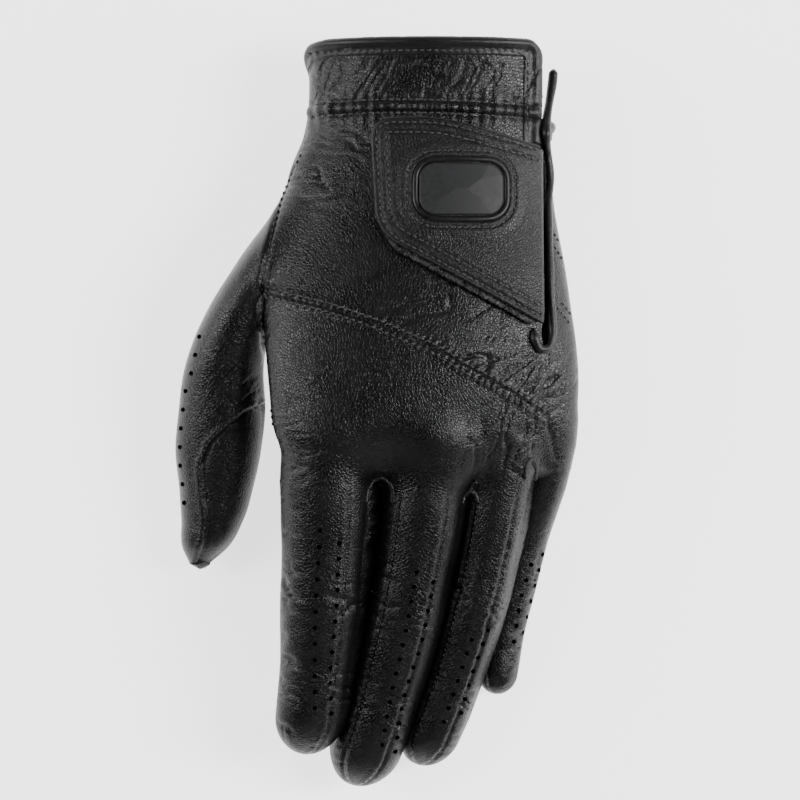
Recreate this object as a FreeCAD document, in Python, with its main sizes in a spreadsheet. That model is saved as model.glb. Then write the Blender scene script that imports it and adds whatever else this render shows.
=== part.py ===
"""A left-hand leather golf glove, filled as if a relaxed hand wore it and lying palm down.

Millimetres. +Y runs from the fingers to the cuff, +X towards the little finger and +Z out of
the back of the hand. The origin is under the middle of the glove, on the surface it lies on.

The hand, each finger and the thumb are hollow leather tubes lofted through ellipses. Every panel
of leather is cut out of those skins, and every flat piece that lies on the hand, such as the
closure tab, is cut out of a thin layer that follows the hand's own surface.
"""

import FreeCAD
import Part
import math
import os
from FreeCAD import Placement, Rotation, Vector

OUTPUT_FOLDER = "parts"
SKY = 90.0  # higher than anything in the model
WIDE = 200.0  # wider than anything in the model
SPLIT_ROLL = 5.0  # how far the split between the back and the palm leans, in degrees

# Driving dimensions, one spreadsheet cell each.
GENERAL = {
    "leather": 1.0,
    "gap": 0.4,
    "thread": 0.35,
    "thread_lift": 0.03,
    "thread_width": 0.6,
    "binding_width": 5.4,
    "binding_height": 1.2,
    "patch_height": 1.0,
    "hook_height": 0.9,
    "lining_height": 0.5,
    "tab_height": 0.9,
    "badge_rim_height": 0.5,
    "badge_height": 1.3,
    "elastic_height": 0.8,
    "elastic_width": 11.0,
    "label_height": 0.4,
    "wrist_seam_y": 90.0,
    "web_thickness": 1.0,
    "knuckle_gap": 0.6,
    "cuff_top_y": 111.4,
    "cuff_palm_y": 85.2,
    "slit_x": 50.2,
    "slit_width": 1.6,
    "slit_end_y": 19.5,
    "slit_binding_width": 2.4,
    "slit_binding_height": 0.8,
    "badge_length": 26.0,
    "badge_width": 17.0,
    "badge_rim_width": 1.6,
    "tab_row_1": 1.3,
    "tab_row_2": 4.2,
    "seam_row_gap": 1.3,
}

# Stations along the hand: y, x, z of the section's centre, half width, half depth, and the roll
# that lowers the little-finger side.
HAND_COLUMNS = ("y", "x", "z", "half_width", "half_depth", "roll")
HAND = {
    "cuff": (111.4, 16.1, 20.1, 36.4, 19.4, 0.0),
    "wrist": (89.4, 15.9, 19.6, 36.6, 18.6, 0.0),
    "heel": (64.0, 12.9, 21.6, 40.2, 18.4, 1.0),
    "palm": (36.0, 12.4, 26.0, 45.6, 17.6, 4.0),
    "knuckle": (4.0, 14.6, 29.6, 46.4, 15.6, 9.0),
    "web": (-21.0, 13.9, 27.8, 43.4, 13.2, 13.0),
}

# Stations along the thumb, from the wrist to the tip: x, y, z, half width, half depth.
THUMB_COLUMNS = ("x", "y", "z", "half_width", "half_depth")
THUMB = {
    "thenar_start": (-17.5, 68.0, 21.0, 7.0, 8.0),
    "thenar_upper": (-31.5, 47.0, 21.0, 9.0, 12.0),
    "thenar_lower": (-42.0, 27.0, 19.0, 10.6, 12.0),
    "thumb_root": (-45.8, 13.2, 17.0, 12.0, 11.4),
    "thumb_joint": (-46.4, 1.5, 15.6, 13.0, 10.8),
    "thumb_ball": (-47.6, -11.4, 13.8, 12.9, 10.3),
    "thumb_neck": (-48.3, -22.2, 12.2, 11.3, 9.8),
    "thumb_nail": (-49.5, -32.4, 11.0, 9.4, 8.9),
    "thumb_end": (-51.8, -40.6, 10.0, 6.9, 7.2),
    "thumb_tip": (-53.4, -45.2, 9.4, 3.2, 3.4),
}
THUMB_JOINT = 4  # the station where the thumb starts to move

# Fingers: the centre of the base and of the tip, the sideways bow at mid length, the half width
# and half depth at the base, what share of them is left near the tip, how much of the fall
# towards the tip is a curve and not a slope, and how far the knuckle's axis leans.
FINGER_COLUMNS = (
    "base_x", "base_z", "tip_x", "tip_y", "tip_z", "bow", "half_width", "half_depth",
    "taper", "droop", "lean",
)
FINGERS = {
    "index": (-15.4, 33.2, -21.3, -102.4, 18.6, 1.2, 13.2, 10.4, 0.71, 0.35, 21.0),
    "middle": (14.7, 30.0, -6.8, -112.4, 11.4, 2.9, 11.1, 10.4, 0.82, 0.25, 21.0),
    "ring": (36.4, 24.4, 12.6, -106.4, 8.3, 3.0, 8.8, 9.2, 0.85, 0.34, 23.0),
    "little": (51.7, 16.0, 36.3, -85.2, 6.5, -1.4, 6.8, 7.3, 0.78, -1.20, 20.0),
}
FINGER_STATIONS = (0.0, 0.22, 0.44, 0.64, 0.78, 0.86, 0.92, 0.965, 0.99)
SLIM_FINGERS = ("ring", "little")
FORK_SIDES = {"index": (1,), "middle": (-1, 1), "ring": (-1, 1), "little": (-1,)}

# The plan outlines of what lies on the back of the hand: x, y and corner radius.
TAB_OUTLINE = (
    (49.0, 79.6, 0.6), (20.0, 87.6, 60.0), (-1.6, 87.6, 5.5), (0.4, 53.0, 13.0), (49.2, 26.6, 0.6),
)
HOOK_OUTLINE = ((38.0, 77.5, 3.0), (4.0, 81.0, 3.0), (5.5, 55.5, 5.0), (38.0, 36.5, 3.0))
BADGE_CENTRE = (25.2, 66.0)
PATCH_OUTLINE = ((42.0, 78.5, 3.0), (0.5, 83.0, 4.0), (1.5, 54.0, 6.0), (42.0, 30.5, 3.0))
KNUCKLE_SEAM = ((-60.0, 36.6), (-33.6, 36.0), (-8.0, 30.6), (20.0, 18.6), (50.4, 1.6), (75.0, -9.0))
THUMB_SEAM = ((-24.6, 70.0), (-31.0, 52.0), (-33.9, 36.0), (-34.0, 26.5), (-33.2, 17.0), (-32.8, 8.0),
              (-32.8, -6.0))
TAB_SEWN_EDGE = 47.5  # the tab's stitching stops short of its hinged edge here


def alias_table():
    """Every cell of the spreadsheet as alias and value."""
    cells = dict(GENERAL)
    for columns, rows in ((HAND_COLUMNS, HAND), (THUMB_COLUMNS, THUMB), (FINGER_COLUMNS, FINGERS)):
        for row, values in rows.items():
            cells.update({f"{row}_{column}": v for column, v in zip(columns, values)})
    return cells


doc = FreeCAD.newDocument("golf_glove")
sheet = doc.addObject("Spreadsheet::Sheet", "Dims")
for line, (alias, value) in enumerate(alias_table().items(), start=1):
    sheet.set(f"A{line}", alias)
    sheet.set(f"B{line}", str(value))
    sheet.setAlias(f"B{line}", alias)
doc.recompute()


def dim(alias):
    """A driving dimension, read from its cell."""
    return float(sheet.get(alias))


def ellipse(name, centre, heading, roll, width_rule, depth_rule):
    """An upright ellipse whose plane faces the heading, with radii bound to the spreadsheet."""
    section = doc.addObject("Part::Ellipse", name)
    turn = Rotation(Vector(0, 0, 1), heading) * Rotation(Vector(0, 1, 0), roll)
    turn = turn * Rotation(Vector(1, 0, 0), 90)
    section.MajorRadius = WIDE
    section.setExpression("MinorRadius", depth_rule)
    section.setExpression("MajorRadius", width_rule)
    section.Placement = Placement(centre, turn)
    return section


def oval(name, centre, heading, roll, wide_rule, deep_rule, wide, deep):
    """An ellipse given by width and depth; the larger of the two has to be its major radius."""
    if wide >= deep:
        return ellipse(name, centre, heading, roll, wide_rule, deep_rule)
    return ellipse(name, centre, heading, roll + 90, deep_rule, wide_rule)


def loft(name, sections):
    """A smooth solid through closed sections."""
    solid = doc.addObject("Part::Loft", name)
    solid.Sections = sections
    solid.Solid = True
    solid.Ruled = False
    return solid


def boolean(kind, name, base, tool):
    """A Cut, Fuse or Common of two objects, as a new object."""
    result = doc.addObject(f"Part::{kind}", name)
    result.Base = base
    result.Tool = tool
    return result


def cut(name, base, *tools):
    for number, tool in enumerate(tools, start=1):
        last = number == len(tools)
        base = boolean("Cut", name if last else f"{name}_cut{number}", base, tool)
    return base


def common(name, base, *tools):
    for number, tool in enumerate(tools, start=1):
        last = number == len(tools)
        base = boolean("Common", name if last else f"{name}_part{number}", base, tool)
    return base


def prism(name, points, direction, length):
    """A closed polygon swept straight, half its length to each side."""
    outline = doc.addObject("Part::Polygon", f"{name}_outline")
    outline.Nodes = [Vector(*p) for p in points]
    outline.Close = True
    block = doc.addObject("Part::Extrusion", name)
    block.Base = outline
    block.DirMode = "Custom"
    block.Dir = Vector(*direction)
    block.LengthFwd = length
    block.Symmetric = True
    block.Solid = True
    return block


def rectangle(x0, y0, x1, y1):
    return [(x0, y0), (x1, y0), (x1, y1), (x0, y1)]


def plan_block(name, points):
    """A polygon in plan, as a block through the whole height."""
    return prism(name, [(x, y, 0) for x, y in points], (0, 0, 1), 2 * SKY)


def rounded_edges(corners):
    """The lines and arcs of a closed outline whose corners are (x, y, radius)."""
    edges = []
    ends = []
    for i, (x, y, radius) in enumerate(corners):
        here = Vector(x, y, 0)
        before = Vector(*corners[i - 1][:2], 0) - here
        after = Vector(*corners[(i + 1) % len(corners)][:2], 0) - here
        half = before.getAngle(after) / 2
        reach = radius / math.tan(half)
        middle = (before.normalize() + after.normalize()).normalize()
        centre = here + middle * (radius / math.sin(half))
        start, end = here + before * reach, here + after * reach
        edges.append(Part.Arc(start, centre - middle * radius, end))
        ends.append((start, end))
    for i, (_, end) in enumerate(ends):
        edges.append(Part.LineSegment(end, ends[(i + 1) % len(ends)][0]))
    return edges


def inset(corners, depth):
    """The same outline, drawn in by a depth."""
    drawn_in = []
    for i, (x, y, radius) in enumerate(corners):
        here = Vector(x, y, 0)
        before = (Vector(*corners[i - 1][:2], 0) - here).normalize()
        after = (Vector(*corners[(i + 1) % len(corners)][:2], 0) - here).normalize()
        middle = (before + after).normalize()
        here = here + middle * (depth / math.sin(before.getAngle(after) / 2))
        drawn_in.append((here.x, here.y, max(radius - depth, 0.5)))
    return drawn_in


def pad_body(name, corners, height):
    """A PartDesign body: a rounded outline sketched in plan and padded upwards."""
    body = doc.addObject("PartDesign::Body", name)
    sketch = body.newObject("Sketcher::SketchObject", f"{name}_sketch")
    ground = next(f for f in body.Origin.OriginFeatures if f.Role == "XY_Plane")
    sketch.AttachmentSupport = [(ground, "")]
    sketch.MapMode = "FlatFace"
    sketch.addGeometry(rounded_edges(corners), False)
    pad = body.newObject("PartDesign::Pad", f"{name}_pad")
    pad.Profile = sketch
    pad.Length = height
    body.Tip = pad
    return body


# ---------------------------------------------------------------- hand forms and layers

hand_forms = {}


def hand_form(rule):
    """The hand's outer shape, grown by a spreadsheet rule such as '-Dims.leather'."""
    if rule in hand_forms:
        return hand_forms[rule]
    number = len(hand_forms)
    open_end = 2.0 if rule.startswith("-") else 0.0
    sections = []
    for row in HAND:
        y = dim(f"{row}_y") + {"cuff": open_end + 2.0, "web": -open_end}.get(row, 0.0)
        centre = Vector(dim(f"{row}_x"), y, dim(f"{row}_z"))
        wide = f"Dims.{row}_half_width + ({rule})"
        deep = f"Dims.{row}_half_depth + ({rule})"
        name = f"hand{number}_{row}"
        sections.append(ellipse(name, centre, 0.0, dim(f"{row}_roll"), wide, deep))
    hand_forms[rule] = loft(f"hand_form{number}", sections)
    return hand_forms[rule]


def hand_layer(name, inner_rule, outer_rule):
    """The layer between two hand forms."""
    return cut(name, hand_form(outer_rule), hand_form(inner_rule))


def thumb_form(name, rows, rule, grow, overrun):
    """The thumb's shape through some of its stations, grown by a rule."""
    spots = {r: Vector(*(dim(f"{r}_{c}") for c in ("x", "y", "z"))) for r in THUMB}
    order = list(THUMB)
    sections = []
    for row in rows:
        i = order.index(row)
        ahead = spots[order[min(i + 1, len(order) - 1)]] - spots[order[max(i - 1, 0)]]
        heading = math.degrees(math.atan2(ahead.x, -ahead.y))
        flat = Vector(ahead.x, ahead.y, 0).normalize()
        centre = spots[row]
        if row == rows[0]:
            centre = centre - flat * overrun
        if row == rows[-1]:
            centre = centre + flat * (grow if row == order[-1] else overrun)
        wide, deep = (f"Dims.{row}_{c} + ({rule})" for c in ("half_width", "half_depth"))
        sections.append(
            oval(f"{name}_{row}", centre, heading, 0.0, wide, deep,
                 dim(f"{row}_half_width"), dim(f"{row}_half_depth"))
        )
    return loft(name, sections)


# ---------------------------------------------------------------- fingers


class Finger:
    """One finger's centre line and its section at any share of its length."""

    def __init__(self, name):
        self.name = name
        self.value = {column: dim(f"{name}_{column}") for column in FINGER_COLUMNS}
        v = self.value
        self.base = Vector(v["base_x"], dim("web_y") - dim("knuckle_gap"), v["base_z"])
        self.tip = Vector(v["tip_x"], v["tip_y"], v["tip_z"])
        along = Vector(self.tip.x - self.base.x, self.tip.y - self.base.y, 0)
        self.length = along.Length
        self.along = along.normalize()
        self.side = Vector(-self.along.y, self.along.x, 0)
        self.heading = math.degrees(math.atan2(self.along.x, -self.along.y))
        self.round_start = 1 - 1.15 * v["half_width"] * v["taper"] / self.length

    def centre(self, share):
        """The centre line, with its bow to the side and its droop towards the tip."""
        v = self.value
        fall = (1 - v["droop"]) * share + v["droop"] * share * share
        point = self.base + self.along * (self.length * share)
        point = point + self.side * (4 * v["bow"] * share * (1 - share))
        point.z = v["base_z"] + (v["tip_z"] - v["base_z"]) * fall
        return point

    def size_share(self, share):
        """How much of the base's width is left: an even taper, then a round end."""
        taper = 1 - (1 - self.value["taper"]) * share
        past = max(0.0, share - self.round_start) / (1 - self.round_start)
        return taper * math.sqrt(1 - past * past)

    def form(self, name, rule, shrink):
        """The finger's solid form; shrink draws its two ends in for an inner form."""
        sections = []
        for i, share in enumerate(FINGER_STATIONS):
            factor = self.size_share(share)
            centre = self.centre(share)
            if shrink:
                centre = centre + self.along * (-2.0 if i == 0 else -shrink * share)
            wide, deep = (
                f"Dims.{self.name}_{c} * {factor:.4f} + ({rule})" for c in ("half_width", "half_depth")
            )
            section = oval(
                f"{name}_{i}", centre, self.heading if i else 0.0, 0.0, wide, deep,
                self.value["half_width"], self.value["half_depth"],
            )
            sections.append(section)
        return loft(name, sections)

    def hinge(self):
        """A point on the knuckle's axis, on the palm side of the base, and the axis itself."""
        lean = math.radians(self.value["lean"])
        bend = Vector(0, 0, -math.cos(lean)) - self.side * math.sin(lean)
        reach = math.hypot(
            self.value["half_width"] * math.sin(lean), self.value["half_depth"] * math.cos(lean))
        return self.base + bend * reach, self.along.cross(bend)

    def profile(self, offset):
        """Points of the side view at some height above the centre line, all in one upright plane."""
        points = []
        for share in (-0.05, 0.0, 0.2, 0.4, 0.6, 0.8, 0.9, 1.03):
            inside = min(max(share, 0.0), 1.0)
            point = self.base + self.along * (self.length * share)
            rise = offset * self.value["half_depth"] * (1 - inside**4)
            points.append(Vector(point.x, point.y, self.centre(share).z + rise))
        return points

    def belt(self, side):
        """The block that a fork fills: between the back's seam and the palm's seam on one side."""
        low, high = (-0.50, 0.66) if side < 0 else (-0.66, 0.34)
        points = self.profile(high) + self.profile(low)[::-1]
        block = prism(f"{self.name}_belt{side}", points, self.side, WIDE)
        half = prism(
            f"{self.name}_half{side}",
            [tuple(p) for p in (
                self.base - self.along * 20 + self.side * side * 1.5 - Vector(0, 0, SKY),
                self.tip + self.along * 20 + self.side * side * 1.5 - Vector(0, 0, SKY),
                self.tip + self.along * 20 + self.side * side * 1.5 + Vector(0, 0, SKY),
                self.base - self.along * 20 + self.side * side * 1.5 + Vector(0, 0, SKY),
            )],
            self.side * side, WIDE,
        )
        half.Symmetric = False
        return common(f"{self.name}_fork_block{side}", block, half)


def finger_parts(name):
    """The back, the palm side and the forks of one finger, as labelled sub-parts."""
    finger = Finger(name)
    skin = cut(
        f"{name}_skin", finger.form(f"{name}_outer", "0", 0.0),
        finger.form(f"{name}_inner", "-Dims.leather", dim("leather")),
    )
    over = finger.profile(0.1)
    over += [Vector(over[-1].x, over[-1].y, SKY), Vector(over[0].x, over[0].y, SKY)]
    upper = prism(f"{name}_upper", over, finger.side, WIDE)
    belts = {side: finger.belt(side) for side in FORK_SIDES[name]}
    # the forks leave the slim outer fingers before the split, and the thick ones after it, because
    # the other order gives a faulty solid
    if name in SLIM_FINGERS:
        bare = cut(f"{name}_bare", skin, *belts.values())
        made = {
            f"{name}_back": common(f"{name}_back_skin", bare, upper),
            f"{name}_palm": cut(f"{name}_palm_skin", bare, upper),
        }
    else:
        made = {
            f"{name}_back": cut(f"{name}_back_skin", common(f"{name}_over", skin, upper), *belts.values()),
            f"{name}_palm": cut(f"{name}_palm_skin", cut(f"{name}_under", skin, upper), *belts.values()),
        }
    for side, belt in belts.items():
        where = "outer" if side > 0 else "inner"
        made[f"{name}_fork_{where}"] = common(f"{name}_fork{side}", skin, belt)
    return made


# ---------------------------------------------------------------- the hand's panels


def cuff_profile(name, shift):
    """Everything on the fingers' side of the cuff's edge, which runs lower on the palm."""
    top, low = dim("cuff_top_y") + shift, dim("cuff_palm_y") + shift
    points = [(0, -WIDE, -SKY), (0, low, -SKY), (0, low, 0.0), (0, low + 5.0, 4.0),
              (0, low + 17.0, 15.0), (0, top - 3.4, 25.0), (0, top, 33.0), (0, top, SKY), (0, -WIDE, SKY)]
    return prism(name, points, (1, 0, 0), 2 * WIDE)


def band(points, half):
    """A strip of even width about a plan line, as a closed outline."""
    left, right = [], []
    for i, (x, y) in enumerate(points):
        before = points[max(i - 1, 0)]
        after = points[min(i + 1, len(points) - 1)]
        along = Vector(after[0] - before[0], after[1] - before[1], 0).normalize()
        left.append((x - along.y * half, y + along.x * half))
        right.append((x + along.y * half, y - along.x * half))
    return left + right[::-1]


def upper_half():
    """Everything above the middle of the hand, following its height and leaning with its roll."""
    lean = math.radians(SPLIT_ROLL)
    points = []
    for row in HAND:
        y = dim(f"{row}_y") + {"cuff": 8.0, "web": -8.0}.get(row, 0.0)
        x, z = dim(f"{row}_x"), dim(f"{row}_z")
        points.append((0, y, z + x * math.tan(lean)))
    points += [(0, points[-1][1], 2 * SKY), (0, points[0][1], 2 * SKY)]
    return prism("upper_half", points, (math.cos(lean), 0, -math.sin(lean)), WIDE * 1.5)


def hand_panels():
    """The leather panels of the hand, cut out of one hollow skin."""
    stations = list(THUMB)
    root_rows = stations[: THUMB_JOINT + 1]
    outer = boolean("Fuse", "hand_outer", hand_form("0"), thumb_form("thenar_outer", root_rows, "0", 0, 0))
    thumb_root = outer.Tool
    inner = boolean(
        "Fuse", "hand_inner", hand_form("-Dims.leather"),
        thumb_form("thenar_inner", root_rows, "-Dims.leather", 0, 1.0),
    )
    trimmed = common("hand_outer_trimmed", outer, cuff_profile("cuff_edge", 0.0))
    x, width, y = dim("slit_x"), dim("slit_width"), dim("slit_end_y")
    slit = common(
        "slit_gap",
        plan_block("slit_plan", [(x - width / 2, y), (x + width / 2, y), (x + width / 2 + 1.2, 130),
                                 (x - width / 2, 130)]),
        upper_half_block,
    )
    skin = cut("hand_skin", trimmed, inner, slit)
    thumb_side = plan_block("thumb_side", [(-WIDE, 70), *THUMB_SEAM, (-WIDE, -6)])
    knuckle_side = plan_block("knuckle_side", [*KNUCKLE_SEAM, (75, -60), (-60, -60)])
    wrist_side = plan_block("wrist_side", [(-60, dim("wrist_seam_y")), (90, dim("wrist_seam_y")),
                                           (90, 140), (-60, 140)])
    flap_side = plan_block("flap_side", [(x, y), (x, 140), (90, 140), (90, y)])
    over = common("skin_over", skin, upper_half_block)
    back = cut("back_all", over, thumb_side, flap_side)
    under = cut("palm_under", cut("skin_under", skin, upper_half_block), thumb_side)
    flap = cut("palm_flap", common("flap_over", over, flap_side), thumb_side)
    palm = boolean("Fuse", "palm_skin", under, flap)
    return {
        "wrist_band": common("wrist_band_skin", back, wrist_side),
        "back_panel": cut("back_panel_skin", back, wrist_side, knuckle_side),
        "knuckle_panel": common("knuckle_panel_skin", cut("back_low", back, wrist_side), knuckle_side),
        "palm_panel": palm,
        "thumb_base_panel": common("thumb_base_skin", skin, thumb_side),
    }, slit, thumb_root


def web_gussets():
    """The three little gussets that close the glove between the bases of the fingers."""
    y = dim("web_y")
    ends = [dim("index_base_x"), dim("little_base_x")]
    slab = plan_block("web_slab", rectangle(ends[0], y, ends[1], y + dim("web_thickness")))
    plate = common("web_plate", hand_form("-Dims.leather"), slab)
    stalls = []
    for name in FINGERS:
        x, half = dim(f"{name}_base_x"), dim(f"{name}_half_width") - dim("leather")
        stalls.append(plan_block(f"{name}_stall", rectangle(x - half, y - 5, x + half, y + 5)))
    return cut("web_gusset_strips", plate, *stalls)


def cuff_binding(slit):
    """A strip of leather folded over the cuff's edge, on both faces of the skin."""
    height = "Dims.binding_height"
    shell = hand_layer("binding_layer", "-Dims.leather - Dims.binding_height", height)
    zone = cut(
        "binding_zone", common("binding_reach", shell, cuff_profile("binding_edge", 1.0)),
        cuff_profile("binding_start", -dim("binding_width")),
    )
    leather = common(
        "binding_core", hand_layer("binding_core_layer", "-Dims.leather", "0"),
        cuff_profile("binding_core_edge", 0.0),
    )
    return cut("binding_fold", zone, leather, slit)


def on_hand(name, inner_rule, outer_rule, shape):
    """A piece of a plan shape that follows the hand's back between two heights."""
    layer = hand_layer(f"{name}_layer", inner_rule, outer_rule)
    return common(f"{name}_piece", common(f"{name}_top", layer, upper_half_block), shape)


def slit_binding():
    """The narrow binding along both edges of the slit, turning round its closed end."""
    x, y, half = dim("slit_x"), dim("slit_end_y"), dim("slit_width") / 2
    out, top, flap_top = half + dim("slit_binding_width"), dim("wrist_seam_y") + 14.0, 48.0
    ring = [(x - out, top), (x - out, y), (x - half, y - 3.0), (x + half, y - 3.0), (x + out, y),
            (x + out, flap_top), (x + half, flap_top), (x + half, y), (x - half, y), (x - half, top)]
    return on_hand("slit_binding", "0", "Dims.slit_binding_height", plan_block("slit_ring", ring))


def thread_rows(name, lines):
    """Rows of stitching, as thin raised ribs that follow the hand."""
    rows = [plan_block(f"{name}_row{i}", band(line, dim("thread_width") / 2)) for i, line in enumerate(lines)]
    shape = rows[0]
    for row in rows[1:]:
        shape = boolean("Fuse", f"{name}_pair", shape, row)
    return on_hand(name, "Dims.thread_lift", "Dims.thread", shape)


def shifted(line, dx, dy):
    return [(x + dx, y + dy) for x, y in line]


upper_half_block = upper_half()
subparts, slit_gap, thumb_root_form = hand_panels()
subparts["web_gussets"] = web_gussets()
subparts["cuff_binding"] = cuff_binding(slit_gap)
subparts["slit_binding"] = slit_binding()


def closure():
    """The tab and everything on it, and the loop patch that it closes on."""
    patch_top = "Dims.patch_height"
    hook_low = f"{patch_top} + Dims.gap"
    hook_top = f"{hook_low} + Dims.hook_height"
    lining_top = f"{hook_top} + Dims.lining_height"
    tab_top = f"{lining_top} + Dims.tab_height"
    x, y = BADGE_CENTRE
    half_l, half_w = dim("badge_length") / 2, dim("badge_width") / 2
    corners = ((x - half_l, y + half_w), (x - half_l, y - half_w), (x + half_l, y - half_w),
               (x + half_l, y + half_w))
    plate = [(cx, cy, 6.0) for cx, cy in corners]
    badge_plan = pad_body("badge_plan", plate, SKY)
    rim_plan = pad_body("rim_plan", inset(plate, -dim("badge_rim_width")), SKY)
    tab_plan = pad_body("tab_plan", TAB_OUTLINE, SKY)
    sewn_edge = plan_block("sewn_edge", rectangle(TAB_SEWN_EDGE, 0, 90, 120))
    rows = []
    for depth in (dim("tab_row_1"), dim("tab_row_2")):
        outside = pad_body(f"tab_row_out{len(rows)}", inset(TAB_OUTLINE, depth), SKY)
        inside = pad_body(f"tab_row_in{len(rows)}", inset(TAB_OUTLINE, depth + dim("thread_width")), SKY)
        rows.append(cut(f"tab_row{len(rows)}", outside, inside, sewn_edge))
    return {
        "loop_patch": on_hand("patch", "0", patch_top, pad_body("patch_plan", PATCH_OUTLINE, SKY)),
        "hook_strip": on_hand("hook", hook_low, hook_top, pad_body("hook_plan", HOOK_OUTLINE, SKY)),
        "tab_lining": on_hand("lining", hook_top, lining_top, tab_plan),
        "tab_leather": on_hand("tab", lining_top, tab_top, tab_plan),
        "tab_thread": on_hand("tab_thread", tab_top, f"{tab_top} + Dims.thread",
                              boolean("Fuse", "tab_rows", *rows)),
        "badge_rim": on_hand("rim", tab_top, f"{tab_top} + Dims.badge_rim_height",
                             cut("rim_ring", rim_plan, badge_plan)),
        "badge": on_hand("badge", tab_top, f"{tab_top} + Dims.badge_height", badge_plan),
    }


def seam_threads():
    """The rows of thread beside the seams of the hand, and the row that holds the binding."""
    apart = dim("seam_row_gap")
    wrist = [(-30, dim("wrist_seam_y")), (70, dim("wrist_seam_y"))]
    knuckle = KNUCKLE_SEAM[1:-1]
    thumb = THUMB_SEAM[:4]
    slit_side = plan_block("slit_side", rectangle(TAB_SEWN_EDGE - 1.0, 20, 90, 130))
    tab_side = pad_body("tab_side", inset(TAB_OUTLINE, -1.0), SKY)
    wrist_rows = thread_rows("wrist_seam_rows", [shifted(wrist, 0, -1.2), shifted(wrist, 0, 1.6)])
    knuckle_rows = thread_rows(
        "knuckle_seam_rows", [shifted(knuckle, 0, -apart), shifted(knuckle, 0, apart)])
    thumb_row = thread_rows("thumb_seam_row", [shifted(thumb, apart, 0)])
    return {
        "wrist_seam_thread": cut("wrist_thread_free", wrist_rows, slit_side, tab_side),
        "knuckle_seam_thread": cut("knuckle_thread_free", knuckle_rows, thumb_root_form),
        "thumb_seam_thread": cut("thumb_thread_free", thumb_row, thumb_root_form, knuckle_rows),
    }


def wrist_elastic():
    """The elastic tape sewn inside the wrist, which gathers the leather."""
    y, half = dim("wrist_seam_y"), dim("elastic_width") / 2
    tape = plan_block("elastic_reach", rectangle(-60, y - half, TAB_SEWN_EDGE - 1.5, y + half))
    return on_hand("elastic", "-Dims.leather - Dims.elastic_height", "-Dims.leather", tape)


def care_label():
    """The blank cloth label sewn inside the cuff, below the binding."""
    y = dim("wrist_seam_y") + dim("elastic_width") / 2 + 1.0
    tag = plan_block("label_reach", rectangle(4.0, y, 22.0, y + 8.5))
    return on_hand("label", "-Dims.leather - Dims.label_height", "-Dims.leather", tag)


subparts.update(closure())
subparts.update(seam_threads())
subparts["wrist_elastic"] = wrist_elastic()
subparts["care_label"] = care_label()
for finger_name in FINGERS:
    subparts.update(finger_parts(finger_name))


def thumb_parts():
    """The moving end of the thumb: its outer leather and its inner leather."""
    rows = list(THUMB)[THUMB_JOINT:]
    outer = thumb_form("thumb_outer", rows, "0", 1.0, -dim("gap"))
    inner = thumb_form("thumb_inner", rows, "-Dims.leather", 0.0, 1.0)
    skin = cut("thumb_skin", outer, inner)
    seam = [(-46.0, 10.0), (-45.0, 0.0), (-50.0, -12.0), (-51.6, -24.0), (-51.0, -36.0), (-53.6, -50.0)]
    outside = plan_block("thumb_outside", [*seam, (-90, -60), (-90, 10)])
    return {
        "thumb_back": common("thumb_back_skin", skin, outside),
        "thumb_palm": cut("thumb_palm_skin", skin, outside),
    }


subparts.update(thumb_parts())


def publish():
    """Checks every object, labels the sub-parts and writes one STEP file each."""
    doc.recompute()
    for thing in doc.Objects:
        if {"Invalid", "Error"} & set(thing.State):
            raise RuntimeError(f"{thing.Name} failed: {thing.State}")
    os.makedirs(OUTPUT_FOLDER, exist_ok=True)
    for old in os.listdir(OUTPUT_FOLDER):
        os.remove(os.path.join(OUTPUT_FOLDER, old))
    for node, thing in subparts.items():
        thing.Label = node
        shape = thing.Shape
        if shape.isNull() or not shape.isValid() or not shape.Solids:
            raise RuntimeError(f"{node} has no valid solid")
        print(f"{node}: {len(shape.Solids)} solid, {shape.Volume:.0f} mm3")
        shape.exportStep(os.path.join(OUTPUT_FOLDER, f"{node}.step"))
    for name in FINGERS:
        point, axis = Finger(name).hinge()
        print(f"{name} knuckle: through {tuple(point)} along {tuple(axis)}")


publish()
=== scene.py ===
"""Golf glove: leather skin, stitching, closure and badge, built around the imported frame.

Lengths in the tables are millimetres; meshes are scaled to metres when they are made.
x runs across the hand (thumb on the negative side), y towards the cuff, z up from the palm.
"""

import bpy
import math
import numpy as np
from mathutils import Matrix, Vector
from mathutils.bvhtree import BVHTree


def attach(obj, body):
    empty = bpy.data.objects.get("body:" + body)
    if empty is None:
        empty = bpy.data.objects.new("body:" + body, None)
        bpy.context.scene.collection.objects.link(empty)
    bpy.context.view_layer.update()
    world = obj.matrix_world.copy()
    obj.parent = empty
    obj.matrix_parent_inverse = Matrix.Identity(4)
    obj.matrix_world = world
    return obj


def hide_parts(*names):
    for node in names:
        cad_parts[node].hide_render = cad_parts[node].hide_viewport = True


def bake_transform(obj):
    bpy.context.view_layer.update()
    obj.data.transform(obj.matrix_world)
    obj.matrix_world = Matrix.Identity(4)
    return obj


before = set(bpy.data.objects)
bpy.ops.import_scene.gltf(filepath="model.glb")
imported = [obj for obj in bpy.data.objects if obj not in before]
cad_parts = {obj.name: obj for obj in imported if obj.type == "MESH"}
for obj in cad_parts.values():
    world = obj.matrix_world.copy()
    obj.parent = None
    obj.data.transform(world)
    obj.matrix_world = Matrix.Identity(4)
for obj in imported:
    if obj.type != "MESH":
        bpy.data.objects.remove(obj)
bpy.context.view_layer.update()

MM = 0.001
VOXEL = 1.15  # size of the remeshed skin's cells, before they are split in four
LEATHER = 0.95  # thickness of the panels
ABOVE = 90.0  # a height clear of the whole glove, from which stitches are dropped
rng = np.random.default_rng(7)

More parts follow.
